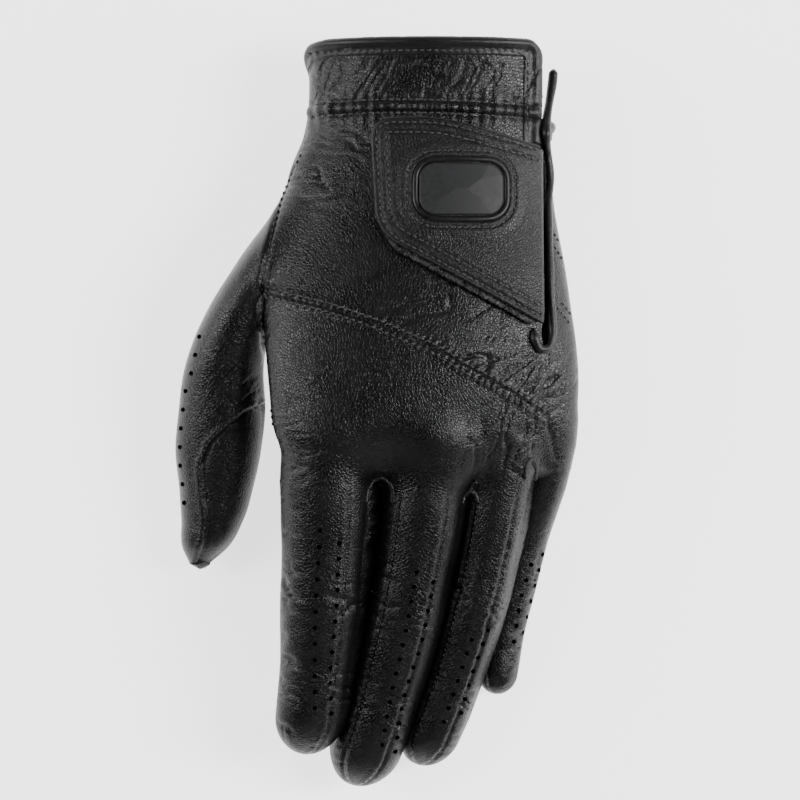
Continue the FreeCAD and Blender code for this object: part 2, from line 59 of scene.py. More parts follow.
# ---------------------------------------------------------------- form of the worn glove
# y, x, z, half width, half depth, roll in degrees
HAND = np.array([
    (-21, 13.9, 27.8, 43.4, 13.2, 13),
    (4, 14.6, 29.6, 46.4, 15.6, 9),
    (36, 12.4, 26.0, 45.6, 17.6, 4),
    (64, 12.9, 21.6, 40.2, 18.4, 1),
    (89.4, 15.9, 19.6, 36.6, 18.6, 0),
    (111.4, 16.1, 20.1, 36.4, 19.4, 0),
], float)
# y, x, z, half width, half depth
THUMB = np.array([
    (-45.2, -53.4, 9.4, 3.2, 3.4),
    (-40.6, -51.8, 10.0, 6.9, 7.2),
    (-32.4, -49.5, 11.0, 9.4, 8.9),
    (-22.2, -48.3, 12.2, 11.3, 9.8),
    (-11.4, -47.6, 13.8, 12.9, 10.3),
    (1.5, -46.4, 15.6, 13.0, 10.8),
    (13.2, -45.8, 17.0, 12.0, 11.4),
    (27, -42.0, 19.0, 10.6, 12.0),
    (47, -31.5, 21.0, 9.0, 12.0),
    (68, -17.5, 21.0, 7.0, 8.0),
], float)
BASE_Y = -21.6
# base x, base z, tip x, tip y, tip z, bow, half width, half depth, taper, droop
FINGERS = {
    "index": (-15.4, 33.2, -21.3, -102.4, 18.6, 1.2, 13.2, 10.6, 0.73, 0.35),
    "middle": (14.5, 30.0, -6.8, -112.4, 11.4, 2.9, 11.9, 10.6, 0.83, 0.25),
    "ring": (36.2, 24.4, 12.6, -106.4, 8.3, 3.0, 10.0, 9.4, 0.84, 0.34),
    "little": (49.7, 16.0, 35.6, -85.2, 6.5, -1.4, 7.5, 7.4, 0.83, -1.2),
}
NAMES = list(FINGERS)
# where the hand's skin ends between the fingers: x, y where the rounding starts
WEB_LINE = np.array([(-32, 0), (-2, -1), (14, -2), (27, -5), (36, -3), (45, 2), (52, 0), (60, 0)], float)
WEB_ROUND = 18.5
SKIN_CUT = -27.0  # the fingers' own pieces begin here
THUMB_CUT = 3.0

KNUCKLE_SEAM = [(-60, 37.4), (-33.3, 36.8), (-25.2, 34.2), (-15.6, 31.8), (-5.1, 28.4), (2.1, 25.7),
                (8.4, 23), (18.3, 18.6), (24.6, 14.6), (34.5, 9.3), (44.4, 3.3), (50.1, -0.5), (58, -5)]
THUMB_SEAM = [(-16, 92), (-24.6, 75), (-28.6, 64), (-31.8, 50), (-33.8, 38.9), (-34.2, 26.3), (-32.9, 17),
              (-31.7, 5.3), (-30.6, -4), (-29.8, -14), (-29.6, -40)]
WRIST_SEAM = [(-60, 90.4), (-20, 90.4), (0, 91), (20, 90.8), (48, 89.6), (80, 89.0)]
SLIT = [(50.0, 125), (49.6, 84), (50.1, 60), (50.5, 40), (50.6, 24), (50.0, 19.5)]
SLIT_HALF = 0.5
# height of the cuff's edge over the palm: z, y
CUFF_EDGE = np.array([(-5, 85.2), (0, 85.2), (4, 90.2), (13, 102.2), (19, 107.6), (25, 110.4), (31, 111.4),
                      (60, 111.6)], float)
TAB = ((49.8, 78.6, 0.6), (20, 87.6, 60), (-1.8, 87.0, 5.5), (0.2, 53, 13), (49.8, 26.2, 0.6))
PATCH = ((46.0, 76.5, 3.0), (4, 81.0, 4.0), (5.5, 52, 8.0), (46.0, 28.5, 3.0))
BADGE = (25.2, 66.2)
BADGE_SIZE = (27.0, 17.5)
# rows of air holes on the back of each finger and the thumb: plan points and how many
HOLES = {
    "index": [([(-16.4, -34.5), (-17.9, -62), (-18.1, -87.6)], 12),
              ([(-10.7, -38.2), (-11.6, -58), (-13.5, -78), (-13.2, -89.4)], 12)],
    "middle": [([(12.1, -47), (8.5, -66.7), (4.6, -83.8), (1.9, -99.2)], 13),
               ([(17.1, -50), (13.5, -68.5), (8.4, -84.7), (5.8, -101.5)], 13)],
    "ring": [([(28.6, -67.6), (24.4, -80.4), (20.4, -92.5)], 7),
             ([(33.5, -64.8), (29.1, -77.3), (25.6, -90)], 7)],
    "little": [([(46.7, -45.6), (43.4, -57), (41.7, -69)], 6),
               ([(50.4, -42.6), (47.5, -54.5), (44.8, -66.4)], 6)],
    "thumb": [([(-52.8, 23), (-54, 17.6), (-55.2, 12.2), (-57, 7), (-57.9, 1), (-58.6, -5), (-58.9, -9.8),
                (-58.9, -15.5), (-58.3, -20.9), (-57.8, -26.9)], 10)],
}
HOLE = 0.72
FORK = 0.60  # how far out, as a share of the half width, the strips between the fingers begin
FORK_SIDES = {"index": (1,), "middle": (-1, 1), "ring": (-1, 1), "little": (-1,)}


# ---------------------------------------------------------------- curves and fields
def curve(xs, ys, x):
    """A smooth curve through rising stations, straight beyond its ends."""
    slope = np.gradient(ys, xs)
    i = np.clip(np.searchsorted(xs, x) - 1, 0, len(xs) - 2)
    h = xs[i + 1] - xs[i]
    t = (x - xs[i]) / h
    c = np.clip(t, 0, 1)
    value = ((2 * c**3 - 3 * c**2 + 1) * ys[i] + (c**3 - 2 * c**2 + c) * h * slope[i]
             + (3 * c**2 - 2 * c**3) * ys[i + 1] + (c**3 - c**2) * h * slope[i + 1])
    return value + np.minimum(t, 0) * h * slope[i] + np.maximum(t - 1, 0) * h * slope[i + 1]


def step(x, lo, hi):
    t = np.clip((x - lo) / (hi - lo), 0, 1)
    return t * t * (3 - 2 * t)


def smin(a, b, k):
    h = np.clip(0.5 + 0.5 * (b - a) / k, 0, 1)
    return b * (1 - h) + a * h - k * h * (1 - h)


def ellipsoid(u, w, s, a, b, c):
    """Signed distance, nearly, to an oval tube whose end is rounded over the length c."""
    r = np.sqrt((u / a) ** 2 + (w / b) ** 2 + (s / c) ** 2) + 1e-9
    v = np.sqrt(u * u + w * w + s * s)
    return v * (1 - 1 / r)


def hand_frame(y):
    cx, cz, a, b, roll = (curve(HAND[:, 0], HAND[:, k], y) for k in range(1, 6))
    return cx, cz, a, b, np.radians(roll)


def hand_local(p):
    cx, cz, a, b, roll = hand_frame(p[:, 1])
    dx, dz = p[:, 0] - cx, p[:, 2] - cz
    return dx * np.cos(roll) - dz * np.sin(roll), dx * np.sin(roll) + dz * np.cos(roll), a, b


def hand_field(p, grow=0.0):
    u, w, a, b = hand_local(p)
    start = curve(WEB_LINE[:, 0], WEB_LINE[:, 1], np.clip(p[:, 0], -32, 60))
    s = np.maximum(start - p[:, 1], 0)
    return ellipsoid(u, w, s, a + grow, b + grow, WEB_ROUND + grow)


def hand_top(x, y):
    """Height of the hand's back at a plan point."""
    cx, cz, a, b, roll = hand_frame(y)
    dx, c, s = x - cx, np.cos(roll), np.sin(roll)
    qa = s * s / a**2 + c * c / b**2
    qb = 2 * dx * s * c * (1 / b**2 - 1 / a**2)
    qc = dx * dx * (c * c / a**2 + s * s / b**2) - 1
    return cz + (-qb + np.sqrt(np.maximum(qb * qb - 4 * qa * qc, 1e-4))) / (2 * qa)


def thumb_field(p, grow=0.0):
    y = p[:, 1]
    ys = THUMB[:, 0]
    cx, cz, a, b = (curve(ys, THUMB[:, k], np.clip(y, ys[0], ys[-1])) for k in range(1, 5))
    s = np.maximum(ys[0] - y, 0) + np.maximum(y - ys[-1], 0)
    return ellipsoid(p[:, 0] - cx, p[:, 2] - cz, s, a + grow, b + grow, 2.4 + grow + 8.0 * (y > 0))


FLANK = {"index": (0.0, 3.6), "middle": (3.6, 1.4), "ring": (1.4, 1.2), "little": (1.2, 0.0)}


class Finger:
    def __init__(self, name):
        self.name = name
        (x0, z0, x1, y1, z1, self.bow, self.a, self.b, self.taper, self.droop) = FINGERS[name]
        self.base = np.array([x0, BASE_Y])
        self.z0, self.z1 = z0, z1
        along = np.array([x1 - x0, y1 - BASE_Y])
        self.length = float(np.hypot(*along))
        self.along = along / self.length
        self.side = np.array([-self.along[1], self.along[0]])
        self.round_start = 1 - 1.15 * self.a * self.taper / self.length

    def height(self, q):
        """Height of the centre line at a share of the length."""
        fall = (1 - self.droop) * q + self.droop * q * np.abs(q)
        return self.z0 + (self.z1 - self.z0) * fall

    def local(self, p):
        """Share of the length, sideways offset, height above the centre line, half width, half depth."""
        d = p[:, :2] - self.base
        q = d @ self.along / self.length
        u = d @ self.side - 4 * self.bow * q * (1 - q) * (q > 0)
        w = p[:, 2] - self.height(q)
        share = 1 - (1 - self.taper) * np.clip(q, 0, 1)
        # knuckles of the worn finger stand a little wider than the bones between them
        share = share * (1 + 0.022 * np.cos((q - 0.46) * 2 * np.pi / 0.44) * step(q, 0.05, 0.25))
        # the strips between the fingers bulge below the seam, so that no light passes between them
        flank = step(-w / self.b, -0.25, 0.35) * step(q, -0.12, 0.02) * (1 - step(q, 0.75, 0.98))
        near_web = 1 + 0.7 * np.exp(-((q - 0.12) / 0.21) ** 2)
        bulge = near_web * np.where(u > 0, FLANK[self.name][1], FLANK[self.name][0]) * flank
        return q, u, w, self.a * share + bulge, self.b * share

    def field(self, p, grow=0.0):
        q, u, w, a, b = self.local(p)
        end = (1 - self.round_start) * self.length
        s = np.maximum(q - self.round_start, 0) * self.length
        back = np.maximum(-q * self.length - 13, 0)
        length = np.where(s > 0, end, 8.0)
        return ellipsoid(u, w, s + back, a + grow, b + grow, length + grow)

    def point(self, q, u):
        """Plan point at a share of the length and a sideways offset."""
        q = np.asarray(q, float)[:, None]
        u = np.asarray(u, float)[:, None]
        return self.base + self.along * (q * self.length) + self.side * (u + 4 * self.bow * q * (1 - q))

    def half(self, q):
        q = np.asarray(q, float)
        past = np.clip((q - self.round_start) / (1 - self.round_start), 0, 1)
        return self.a * (1 - (1 - self.taper) * q) * np.sqrt(1 - past * past)


finger = {name: Finger(name) for name in NAMES}


def skin_field(p, label):
    """The glove's form as seen by one region: 0 hand, 1 to 4 fingers, 5 thumb."""
    hand = hand_field(p)
    thumb = thumb_field(p)
    fade_hand = 60 * step(4 - p[:, 1], 0, 18) * (label == 5)
    fade_thumb = 60 * step(4 - p[:, 1], 0, 18) * (label != 5)
    f = smin(hand + fade_hand, thumb + fade_thumb, 6.0)
    for k, name in enumerate(NAMES):
        own = label == k + 1
        fade = np.where(own, 0, 60 * step(-16 - p[:, 1], 0, 16)) + 60 * (label == 5)
        f = smin(f, finger[name].field(p) + fade, 8.0)
    return f


def project(p, label, rounds):
    for _ in range(rounds):
        f = skin_field(p, label)
        g = np.empty_like(p)
        for k in range(3):
            shift = np.zeros(3)
            shift[k] = 0.05
            g[:, k] = (skin_field(p + shift, label) - f) / 0.05
        size = np.maximum((g * g).sum(1), 0.2)
        move = g * np.clip(f, -2.5, 2.5)[:, None] / size[:, None]
        p = p - move
    return p


# ---------------------------------------------------------------- mesh tools
def oval(centre, a, b, wide, deep, sides):
    angle = np.linspace(0, 2 * np.pi, sides, endpoint=False)
    return centre + np.outer(np.cos(angle) * a, wide) + np.outer(np.sin(angle) * b, deep)


def ring_faces(n, sides, closed=False):
    """Triangles between n rings of points, with flat ends unless the last ring joins the first."""
    faces = []
    for i in range(n if closed else n - 1):
        a, b = i * sides, (i + 1) % n * sides
        for j in range(sides):
            k = (j + 1) % sides
            faces += [(a + j, a + k, b + k), (a + j, b + k, b + j)]
    if not closed:
        last = (n - 1) * sides
        for j in range(1, sides - 1):
            faces += [(0, j + 1, j), (last, last + j, last + j + 1)]
    return np.array(faces)


def tube(rings, sides=64):
    """Closed tube from rings of (centre, half width, half depth, roll, heading)."""
    verts = []
    for c, a, b, roll, across in rings:
        wide = np.array([across[0] * math.cos(roll), across[1] * math.cos(roll), -math.sin(roll)])
        deep = np.array([across[0] * math.sin(roll), across[1] * math.sin(roll), math.cos(roll)])
        verts.append(oval(np.array(c), a, b, wide, deep, sides))
    n = len(verts)
    verts = np.vstack(verts + [np.array([rings[0][0]]), np.array([rings[-1][0]])])
    faces = []
    for i in range(n - 1):
        for j in range(sides):
            k = (j + 1) % sides
            faces.append((i * sides + j, i * sides + k, (i + 1) * sides + k, (i + 1) * sides + j))
    for j in range(sides):
        k = (j + 1) % sides
        faces.append((n * sides, k, j))
        faces.append((n * sides + 1, (n - 1) * sides + j, (n - 1) * sides + k))
    return verts, faces


def rough_forms():
    """Tubes a little inside the glove's form, kept apart so that the remesh keeps the gaps."""
    forms = []
    rings = []
    for y in np.arange(120, -21.1, -2.0):
        cx, cz, a, b, roll = (float(v[0]) for v in hand_frame(np.array([y])))
        end = 1.0 if y > -6 else math.sqrt(max(0.02, 1 - ((-6 - y) / 15.2) ** 2))
        rings.append(((cx, y, cz), (a - 1.0) * (0.9 + 0.1 * end), (b - 1) * end, roll, (1, 0)))
    forms.append(tube(rings))
    rings = []
    for y in np.arange(68, -44.6, -1.6):
        cx, cz, a, b = (float(curve(THUMB[:, 0], THUMB[:, k], np.array([y]))[0]) for k in range(1, 5))
        inner = 1.6 if y < 16 else 0.8
        rings.append(((cx, y, cz), max(a - inner, 0.8), max(b - inner, 0.8), 0.0, (1, 0)))
    forms.append(tube(rings))
    for name in NAMES:
        f = finger[name]
        rings = []
        for q in np.linspace(-0.16, 0.965, 56):
            plan = f.point([q], [0.0])[0] if q > 0 else f.base + f.along * q * f.length
            half = float(f.half([max(q, 0)])[0])
            ratio = half / f.a
            rings.append(((*plan, f.height(q)), max(half - 2.4, 0.8), max(f.b * ratio - 2.4, 0.8),
                          0.0, f.side))
        forms.append(tube(rings))
    return forms


def linked(name, data):
    """A new object in the scene."""
    obj = bpy.data.objects.new(name, data)
    bpy.context.scene.collection.objects.link(obj)
    return obj


def mesh_arrays(obj):
    me = obj.data
    me.calc_loop_triangles()
    v = np.empty(len(me.vertices) * 3)
    me.vertices.foreach_get("co", v)
    t = np.empty(len(me.loop_triangles) * 3, int)
    me.loop_triangles.foreach_get("vertices", t)
    return v.reshape(-1, 3), t.reshape(-1, 3)


def remeshed(forms, voxel):
    verts, faces, offset = [], [], 0
    for v, f in forms:
        verts.append(v)
        faces += [tuple(i + offset for i in face) for face in f]
        offset += len(v)
    me = bpy.data.meshes.new("rough")
    me.from_pydata(np.vstack(verts).tolist(), [], faces)
    obj = linked("rough", me)
    mod = obj.modifiers.new("remesh", "REMESH")
    mod.mode = "VOXEL"
    mod.voxel_size = voxel
    done = bpy.data.meshes.new_from_object(obj.evaluated_get(bpy.context.evaluated_depsgraph_get()))
    obj.modifiers.clear()
    obj.data = done
    v, t = mesh_arrays(obj)
    bpy.data.objects.remove(obj)
    bpy.data.meshes.remove(me)
    bpy.data.meshes.remove(done)
    return v, t


def edges_of(t):
    """Both ends of every edge: all first edges, then all second ones, then all third ones."""
    return np.vstack([t[:, [0, 1]], t[:, [1, 2]], t[:, [2, 0]]])


def subdivided(v, t, label):
    edges = np.sort(edges_of(t), axis=1)
    unique, where = np.unique(edges, axis=0, return_inverse=True)
    where = where.reshape(3, -1) + len(v)
    a, b, c = t.T
    ab, bc, ca = where
    mid = (v[unique[:, 0]] + v[unique[:, 1]]) / 2
    tris = np.vstack([np.stack(x, 1) for x in ((a, ab, ca), (ab, b, bc), (ca, bc, c), (ab, bc, ca))])
    label = np.concatenate([label, np.maximum(label[unique[:, 0]], label[unique[:, 1]])])
    return np.vstack([v, mid]), tris, label


def cut_by_field(v, t, g, extra, snap=0.12):
    """Splits the triangles along g = 0. extra is a list of per-vertex arrays carried along."""
    edge = np.sort(edges_of(t), axis=1)
    unique, where = np.unique(edge, axis=0, return_inverse=True)
    where = where.reshape(3, -1).T
    ga, gb = g[unique[:, 0]], g[unique[:, 1]]
    share = np.where(ga == gb, 0.5, ga / np.where(ga == gb, 1, ga - gb))
    g = g.copy()
    crossing = ga * gb < 0
    near_a = crossing & (share < snap)
    near_b = crossing & (share > 1 - snap)
    g[unique[near_a, 0]] = 0
    g[unique[near_b, 1]] = 0
    ga, gb = g[unique[:, 0]], g[unique[:, 1]]
    crossing = ga * gb < 0
    new = np.full(len(unique), -1)
    new[crossing] = len(v) + np.arange(crossing.sum())
    s = (ga / np.where(crossing, ga - gb, 1))[crossing][:, None]
    e0, e1 = unique[crossing, 0], unique[crossing, 1]
    v2 = np.vstack([v, v[e0] * (1 - s) + v[e1] * s])
    extra2 = []
    for x in extra:
        if x.ndim == 1 and x.dtype.kind == "i":
            extra2.append(np.concatenate([x, np.maximum(x[e0], x[e1])]))
        else:
            w = s if x.ndim > 1 else s[:, 0]
            extra2.append(np.concatenate([x, x[e0] * (1 - w) + x[e1] * w]))
    g2 = np.concatenate([g, np.zeros(crossing.sum())])
    cuts = new[where]
    count = (cuts >= 0).sum(1)
    out = [t[count == 0]]
    one = np.where(count == 1)[0]
    for k in range(3):
        rows = one[cuts[one, k] >= 0]
        a, b, c = t[rows, k], t[rows, (k + 1) % 3], t[rows, (k + 2) % 3]
        m = cuts[rows, k]
        out += [np.stack([a, m, c], 1), np.stack([m, b, c], 1)]
    two = np.where(count == 2)[0]
    for k in range(3):
        rows = two[cuts[two, k] < 0]
        a, b, c = t[rows, k], t[rows, (k + 1) % 3], t[rows, (k + 2) % 3]
        mb, mc = cuts[rows, (k + 1) % 3], cuts[rows, (k + 2) % 3]
        out += [np.stack([mb, c, mc], 1), np.stack([a, b, mb], 1), np.stack([a, mb, mc], 1)]
    return v2, np.vstack(out), g2, extra2


def unit(v):
    return v / np.maximum(np.linalg.norm(v, axis=1, keepdims=True), 1e-12)


def face_normals(v, t):
    return np.cross(v[t[:, 1]] - v[t[:, 0]], v[t[:, 2]] - v[t[:, 0]])


def vertex_normals(v, t):
    n = face_normals(v, t)
    out = np.zeros_like(v)
    for k in range(3):
        np.add.at(out, t[:, k], n)
    return unit(out)


def lengths_along(line):
    """How far along a line each of its points lies."""
    return np.concatenate([[0], np.cumsum(np.linalg.norm(np.diff(line, axis=0), axis=1))])


def line_distance(p, points):
    """Signed distance to an open plan line (positive on its left) and the length along it."""
    pts = np.asarray(points, float)
    best = np.full(len(p), 1e9)
    sign = np.ones(len(p))
    along = np.zeros(len(p))
    run = 0.0
    for a, b in zip(pts[:-1], pts[1:]):
        d = b - a
        length = float(np.hypot(*d))
        r = p - a
        s = np.clip(r @ d / length**2, 0, 1)
        off = r - s[:, None] * d
        dist = np.hypot(off[:, 0], off[:, 1])
        nearer = dist < best - 1e-9
        cross = d[0] * r[:, 1] - d[1] * r[:, 0]
        best = np.where(nearer, dist, best)
        sign = np.where(nearer, np.sign(cross), sign)
        along = np.where(nearer, run + s * length, along)
        run += length
    return best * sign, along


def smooth_line(points, spacing=1.0):
    """A plan or space line made smooth and evenly spaced."""
    pts = np.asarray(points, float)
    run = lengths_along(pts)
    n = max(int(run[-1] / spacing), 2) + 1
    s = np.linspace(0, run[-1], n)
    if len(pts) < 3:
        return np.stack([np.interp(s, run, pts[:, k]) for k in range(pts.shape[1])], 1)
    return np.stack([curve(run, pts[:, k], s) for k in range(pts.shape[1])], 1)


def rounded(corners, sides=10):
    """A closed outline whose corners (x, y, radius) are rounded."""
    out = []
    n = len(corners)
    for i, (x, y, r) in enumerate(corners):
        here = np.array([x, y])
        before = np.array(corners[i - 1][:2]) - here
        after = np.array(corners[(i + 1) % n][:2]) - here
        before, after = before / np.hypot(*before), after / np.hypot(*after)
        half = math.acos(np.clip(before @ after, -1, 1)) / 2
        reach = r / math.tan(half)
        middle = (before + after) / np.hypot(*(before + after))
        centre = here + middle * r / math.sin(half)
        a = here + before * reach - centre
        b = here + after * reach - centre
        a0, b0 = math.atan2(a[1], a[0]), math.atan2(b[1], b[0])
        turn = (b0 - a0 + math.pi) % (2 * math.pi) - math.pi
        for k in range(sides + 1):
            t = a0 + turn * k / sides
            out.append(centre + r * np.array([math.cos(t), math.sin(t)]))
    return np.array(out)


def outline_distance(p, polygon):
    """Positive inside a closed outline."""
    closed = np.vstack([polygon, polygon[:1]])
    dist, _ = line_distance(p, closed)
    inside = np.zeros(len(p), bool)
    for a, b in zip(closed[:-1], closed[1:]):
        crosses = (a[1] > p[:, 1]) != (b[1] > p[:, 1])
        with np.errstate(divide="ignore", invalid="ignore"):
            x = a[0] + (p[:, 1] - a[1]) * (b[0] - a[0]) / (b[1] - a[1])
        inside ^= crosses & (p[:, 0] < x)
    return np.where(inside, np.abs(dist), -np.abs(dist))


# ---------------------------------------------------------------- noise for wrinkles
LATTICE = rng.random((256, 256)) * 2 - 1


def noise2(x, y):
    xi, yi = np.floor(x).astype(int), np.floor(y).astype(int)
    fx, fy = step(x - xi, 0, 1), step(y - yi, 0, 1)
    pick = lambda i, j: LATTICE[i % 256, j % 256]
    return ((pick(xi, yi) * (1 - fx) + pick(xi + 1, yi) * fx) * (1 - fy)
            + (pick(xi, yi + 1) * (1 - fx) + pick(xi + 1, yi + 1) * fx) * fy)


def bell(x, width):
    return np.exp(-(x / width) ** 2)


def wave(x, pitch):
    return np.cos(2 * np.pi * x / pitch)


def turned(x, y, angle):
    """Lengths along a direction and across it."""
    c, s = math.cos(math.radians(angle)), math.sin(math.radians(angle))
    return x * c + y * s, -x * s + y * c


def creases(x, y, angle, long, short, seed):
    """Sharp little valleys running along the angle: 0 between them, down to -1.5 inside."""
    u, v = turned(x, y, angle)
    v = v + 0.55 * short * noise2(u / long * 1.9 + seed, v / short * 0.5 + 9)
    n = noise2(u / long + seed * 3.1, v / short + seed * 7.7)
    return -1.5 * bell(n, 0.17)


def patch(x, y, cx, cy, angle, ru, rv):
    u, v = turned(x - cx, y - cy, angle)
    return np.exp(-(u / ru) ** 2 - (v / rv) ** 2)


# ---------------------------------------------------------------- the skin as one mesh
skin_v, skin_t = remeshed(rough_forms(), VOXEL)
label = np.zeros(len(skin_v), int)
near = np.stack([finger[n].field(skin_v, -2.4) for n in NAMES], 1)
label = np.where(skin_v[:, 1] < -12, near.argmin(1) + 1, 0)
is_thumb = (thumb_field(skin_v, -1.6) < hand_field(skin_v, -1.0)) & (near.min(1) > 2.0)
label = np.where(is_thumb & (skin_v[:, 1] < 12), 5, label)
skin_v = project(skin_v, label, 4)
skin_v, skin_t, label = subdivided(skin_v, skin_t, label)
skin_v = project(skin_v, label, 2)


# ---------------------------------------------------------------- seams, gathers and wrinkles
SIDE_LINE = SLIT[:-1] + [(50.8, 12), (50.4, 0), (53.4, -12), (57.5, -30)]
CUFF_CORNER = 5.0
BINDING = 5.4  # width of the cuff's binding
BEAD = 2.9  # its rolled edge
PITCH = 2.1  # of the stitches
ROW_GAP = 1.25  # from the knuckle seam to each of its rows
WRIST_GAP = 1.9
THUMB_INNER = [(-28, 6.2), (-31.6, 3.6), (-38.9, 0.6), (-44.7, -4.2), (-49.6, -9.2), (-52, -15),
               (-51.9, -22.7), (-50.7, -31.4), (-51.2, -37.6), (-54.9, -48)]


# groups of creases: depth, (angle, length, spacing, seed) and where: (x, y, angle, half length, half width)
HAND_CREASES = [
    (0.32, (-14, 9, 2.0, 3), (-13, 81, -10, 15, 6)),
    (0.30, (-2, 10, 2.4, 4), (-16, 70, 0, 12, 8)),
    (0.30, (10, 12, 2.6, 12), (24, 34, 12, 24, 9)),
    (0.55, (68, 8, 2.0, 6), (41, -5, 70, 13, 7.5)),
    (0.40, (38, 8, 1.9, 7), (52, 6, 60, 12, 5)),
    (0.30, (80, 9, 2.2, 8), (27, -14, 80, 9, 6)),
    (0.22, (4, 8, 2.2, 9), (-22, -10, 0, 8, 14)),
]
THUMB_CREASES = [
    (0.45, (58, 8, 1.7, 10), (-40, 17, 62, 13, 5)),
    (0.35, (24, 7, 1.9, 11), (-38, 3, 30, 8, 6)),
]


def cuff_inset(p):
    """Distance inside the cuff's edge, which rounds the corner by the slit and runs low on the palm."""
    x, y, z = p.T
    slit, _ = line_distance(p[:, :2], SLIT)
    low = 85.2 + 0.1 * z
    left = slit < 0  # the slit's line runs towards the fingers, so its right hand is the thumb side
    reach = step(x, 6, 40) * (1 - step(z, 22.5, 26) * left)
    edge = np.interp(z, CUFF_EDGE[:, 0], CUFF_EDGE[:, 1])
    dy = edge * (1 - reach) + low * reach - y
    dx = np.abs(slit) - SLIT_HALF
    r = CUFF_CORNER
    corner = r - np.hypot(np.maximum(r - dx, 0), np.maximum(r - dy, 0))
    near_slit = left & (z > 24) & (y > 80)
    corner = np.where((dx < r) & (dy < r), corner, 1e9)
    return np.where(near_slit, np.minimum(np.minimum(dx, dy), corner), dy)


def ladder(d, along, gap, groove, puff, pitch):
    """A seam: a groove between two raised edges that the stitches pull in at each pitch."""
    pull = 0.62 + 0.38 * wave(along, pitch)
    row = np.abs(d) - gap
    holes = bell(row, 0.36) * np.maximum(-wave(along, pitch), 0) ** 3
    return -groove * bell(d, 0.5) + puff * pull * np.exp(-(row / (0.62 * gap)) ** 2) - 0.30 * holes


def relief(v, n):
    """How far each point of the skin stands out or in, in millimetres."""
    x, y, z = v.T
    top = step(n[:, 2], 0.02, 0.3)
    hand_zone = (label == 0) | (y > SKIN_CUT) & (label != 5) | (label == 5) & (y > THUMB_CUT)
    plan = v[:, :2]
    out = 0.16 * noise2(x / 13 + 3, y / 13 + z / 17) + 0.035 * noise2(x / 4.3, y / 4.7 + z / 5)
    kd, ks = line_distance(plan, KNUCKLE_SEAM)
    td, ts = line_distance(plan, THUMB_SEAM)
    sd, _ = line_distance(plan, SIDE_LINE)
    wd, ws = line_distance(plan, WRIST_SEAM)
    left_of_side = sd < 0
    right_of_thumb = td > 0
    body = top * hand_zone
    on_back = body * (right_of_thumb | (np.abs(td) < 1)) * left_of_side
    out += on_back * ladder(kd, ks, ROW_GAP, 0.45, 0.5, PITCH)
    out += body * (y < 74) * (0.30 * bell(td + 1.3, 1.3) - 0.75 * bell(td, 0.55)
                              + 0.12 * wave(ts, PITCH) * bell(td - 1.2, 1.1))
    # gathers down the outer side of the index finger's root
    out += body * (y < 0) * 0.30 * wave(ts, 3.4) * bell(td, 2.4)
    gather = noise2(ws / 2.6, np.full(len(x), 5.0)) + 0.7 * wave(ws, 3.3)
    band = body * left_of_side * (y > 84)
    out += band * (0.34 * gather * bell(wd, 4.2) - 0.42 * bell(wd - WRIST_GAP, 0.55)
                   - 0.42 * bell(wd + WRIST_GAP, 0.55) + 0.5 * bell(wd, 1.35))
    # a soft channel beside the slit and the raised flap of the palm
    out += body * (y < 24) * (-0.25) * bell(sd, 0.8) * (y > -14)
    # creases of the cuff, the wrist, the slit's end and the knuckles
    cuff_creases = creases(x, y, 66, 8, 1.9, 1) + 0.6 * creases(x, y, -58, 7, 1.5, 2)
    out += body * 0.22 * step(y, 92.5, 94.5) * cuff_creases * (1 - step(y, 104, 106))
    for zone, groups in ((body, HAND_CREASES), (top, THUMB_CREASES)):
        for depth, lines, place in groups:
            out += zone * depth * creases(x, y, *lines) * patch(x, y, *place)
    fan = np.degrees(np.arctan2(y - 22, 54 - x))
    far = np.hypot(y - 22, x - 54)
    rays = creases(far, fan * 0.42, 0, 11, 1.5, 5)
    out += body * 0.50 * rays * patch(x, y, 33, 14.5, -12, 19, 8.5) * (1 - step(-kd, -1, 1))
    # palm side: long soft folds
    under = step(-n[:, 2], 0.1, 0.5)
    out += under * 0.35 * creases(x, y, 35, 26, 7, 15)
    for k, name in enumerate(NAMES):
        q, u, _, a, _ = finger[name].local(v)
        own = (label == k + 1) * step(-y, 20, 32)
        share = u / a
        own = own * (0.1 + 0.9 * step(np.abs(n[:, 2]), 0.15, 0.55))
        sides = 0.35 + 0.65 * step(np.abs(share), 0.25, 0.8)
        for at, width in ((0.40, 0.07), (0.72, 0.075)):
            joint = bell(q - at - 0.03 * share, width)
            out += own * 0.55 * joint * sides * creases(u, q * finger[name].length, 6, 9, 1.9, 20 + k + at)
        outside = step(share * (-1 if k < 2 else 1), 0.2, 0.9)
        out += own * 0.20 * creases(u, q * finger[name].length, -8, 10, 2.6, 30 + k) * outside
        out += own * 0.12 * creases(u, q * finger[name].length, 70, 7, 2.0, 50 + k) * step(q, 0.8, 0.95)
        for side in FORK_SIDES[name]:
            e = side * u - FORK * half_here(name, q)
            seam = own * top * step(q, -0.02, 0.03)
            out += seam * (-0.5 * bell(e, 0.5) + 0.22 * bell(e + 1.3, 0.9))
    thumb_zone = (label == 5)
    ed, _ = line_distance(plan, THUMB_INNER)
    out += thumb_zone * top * (-0.5 * bell(ed, 0.5) + 0.35 * bell(ed + 1.2, 0.9)
                               - 0.9 * step(ed, -0.3, 0.5) * np.exp(-np.maximum(ed, 0) / 7))
    return out


def half_here(name, q):
    """Half width of a finger's outline, kept from closing fully so that seams run to the tip."""
    return finger[name].half(np.clip(q, 0, 0.992))


normals = vertex_normals(skin_v, skin_t)
skin_v = skin_v + normals * relief(skin_v, normals)[:, None]
normals = vertex_normals(skin_v, skin_t)


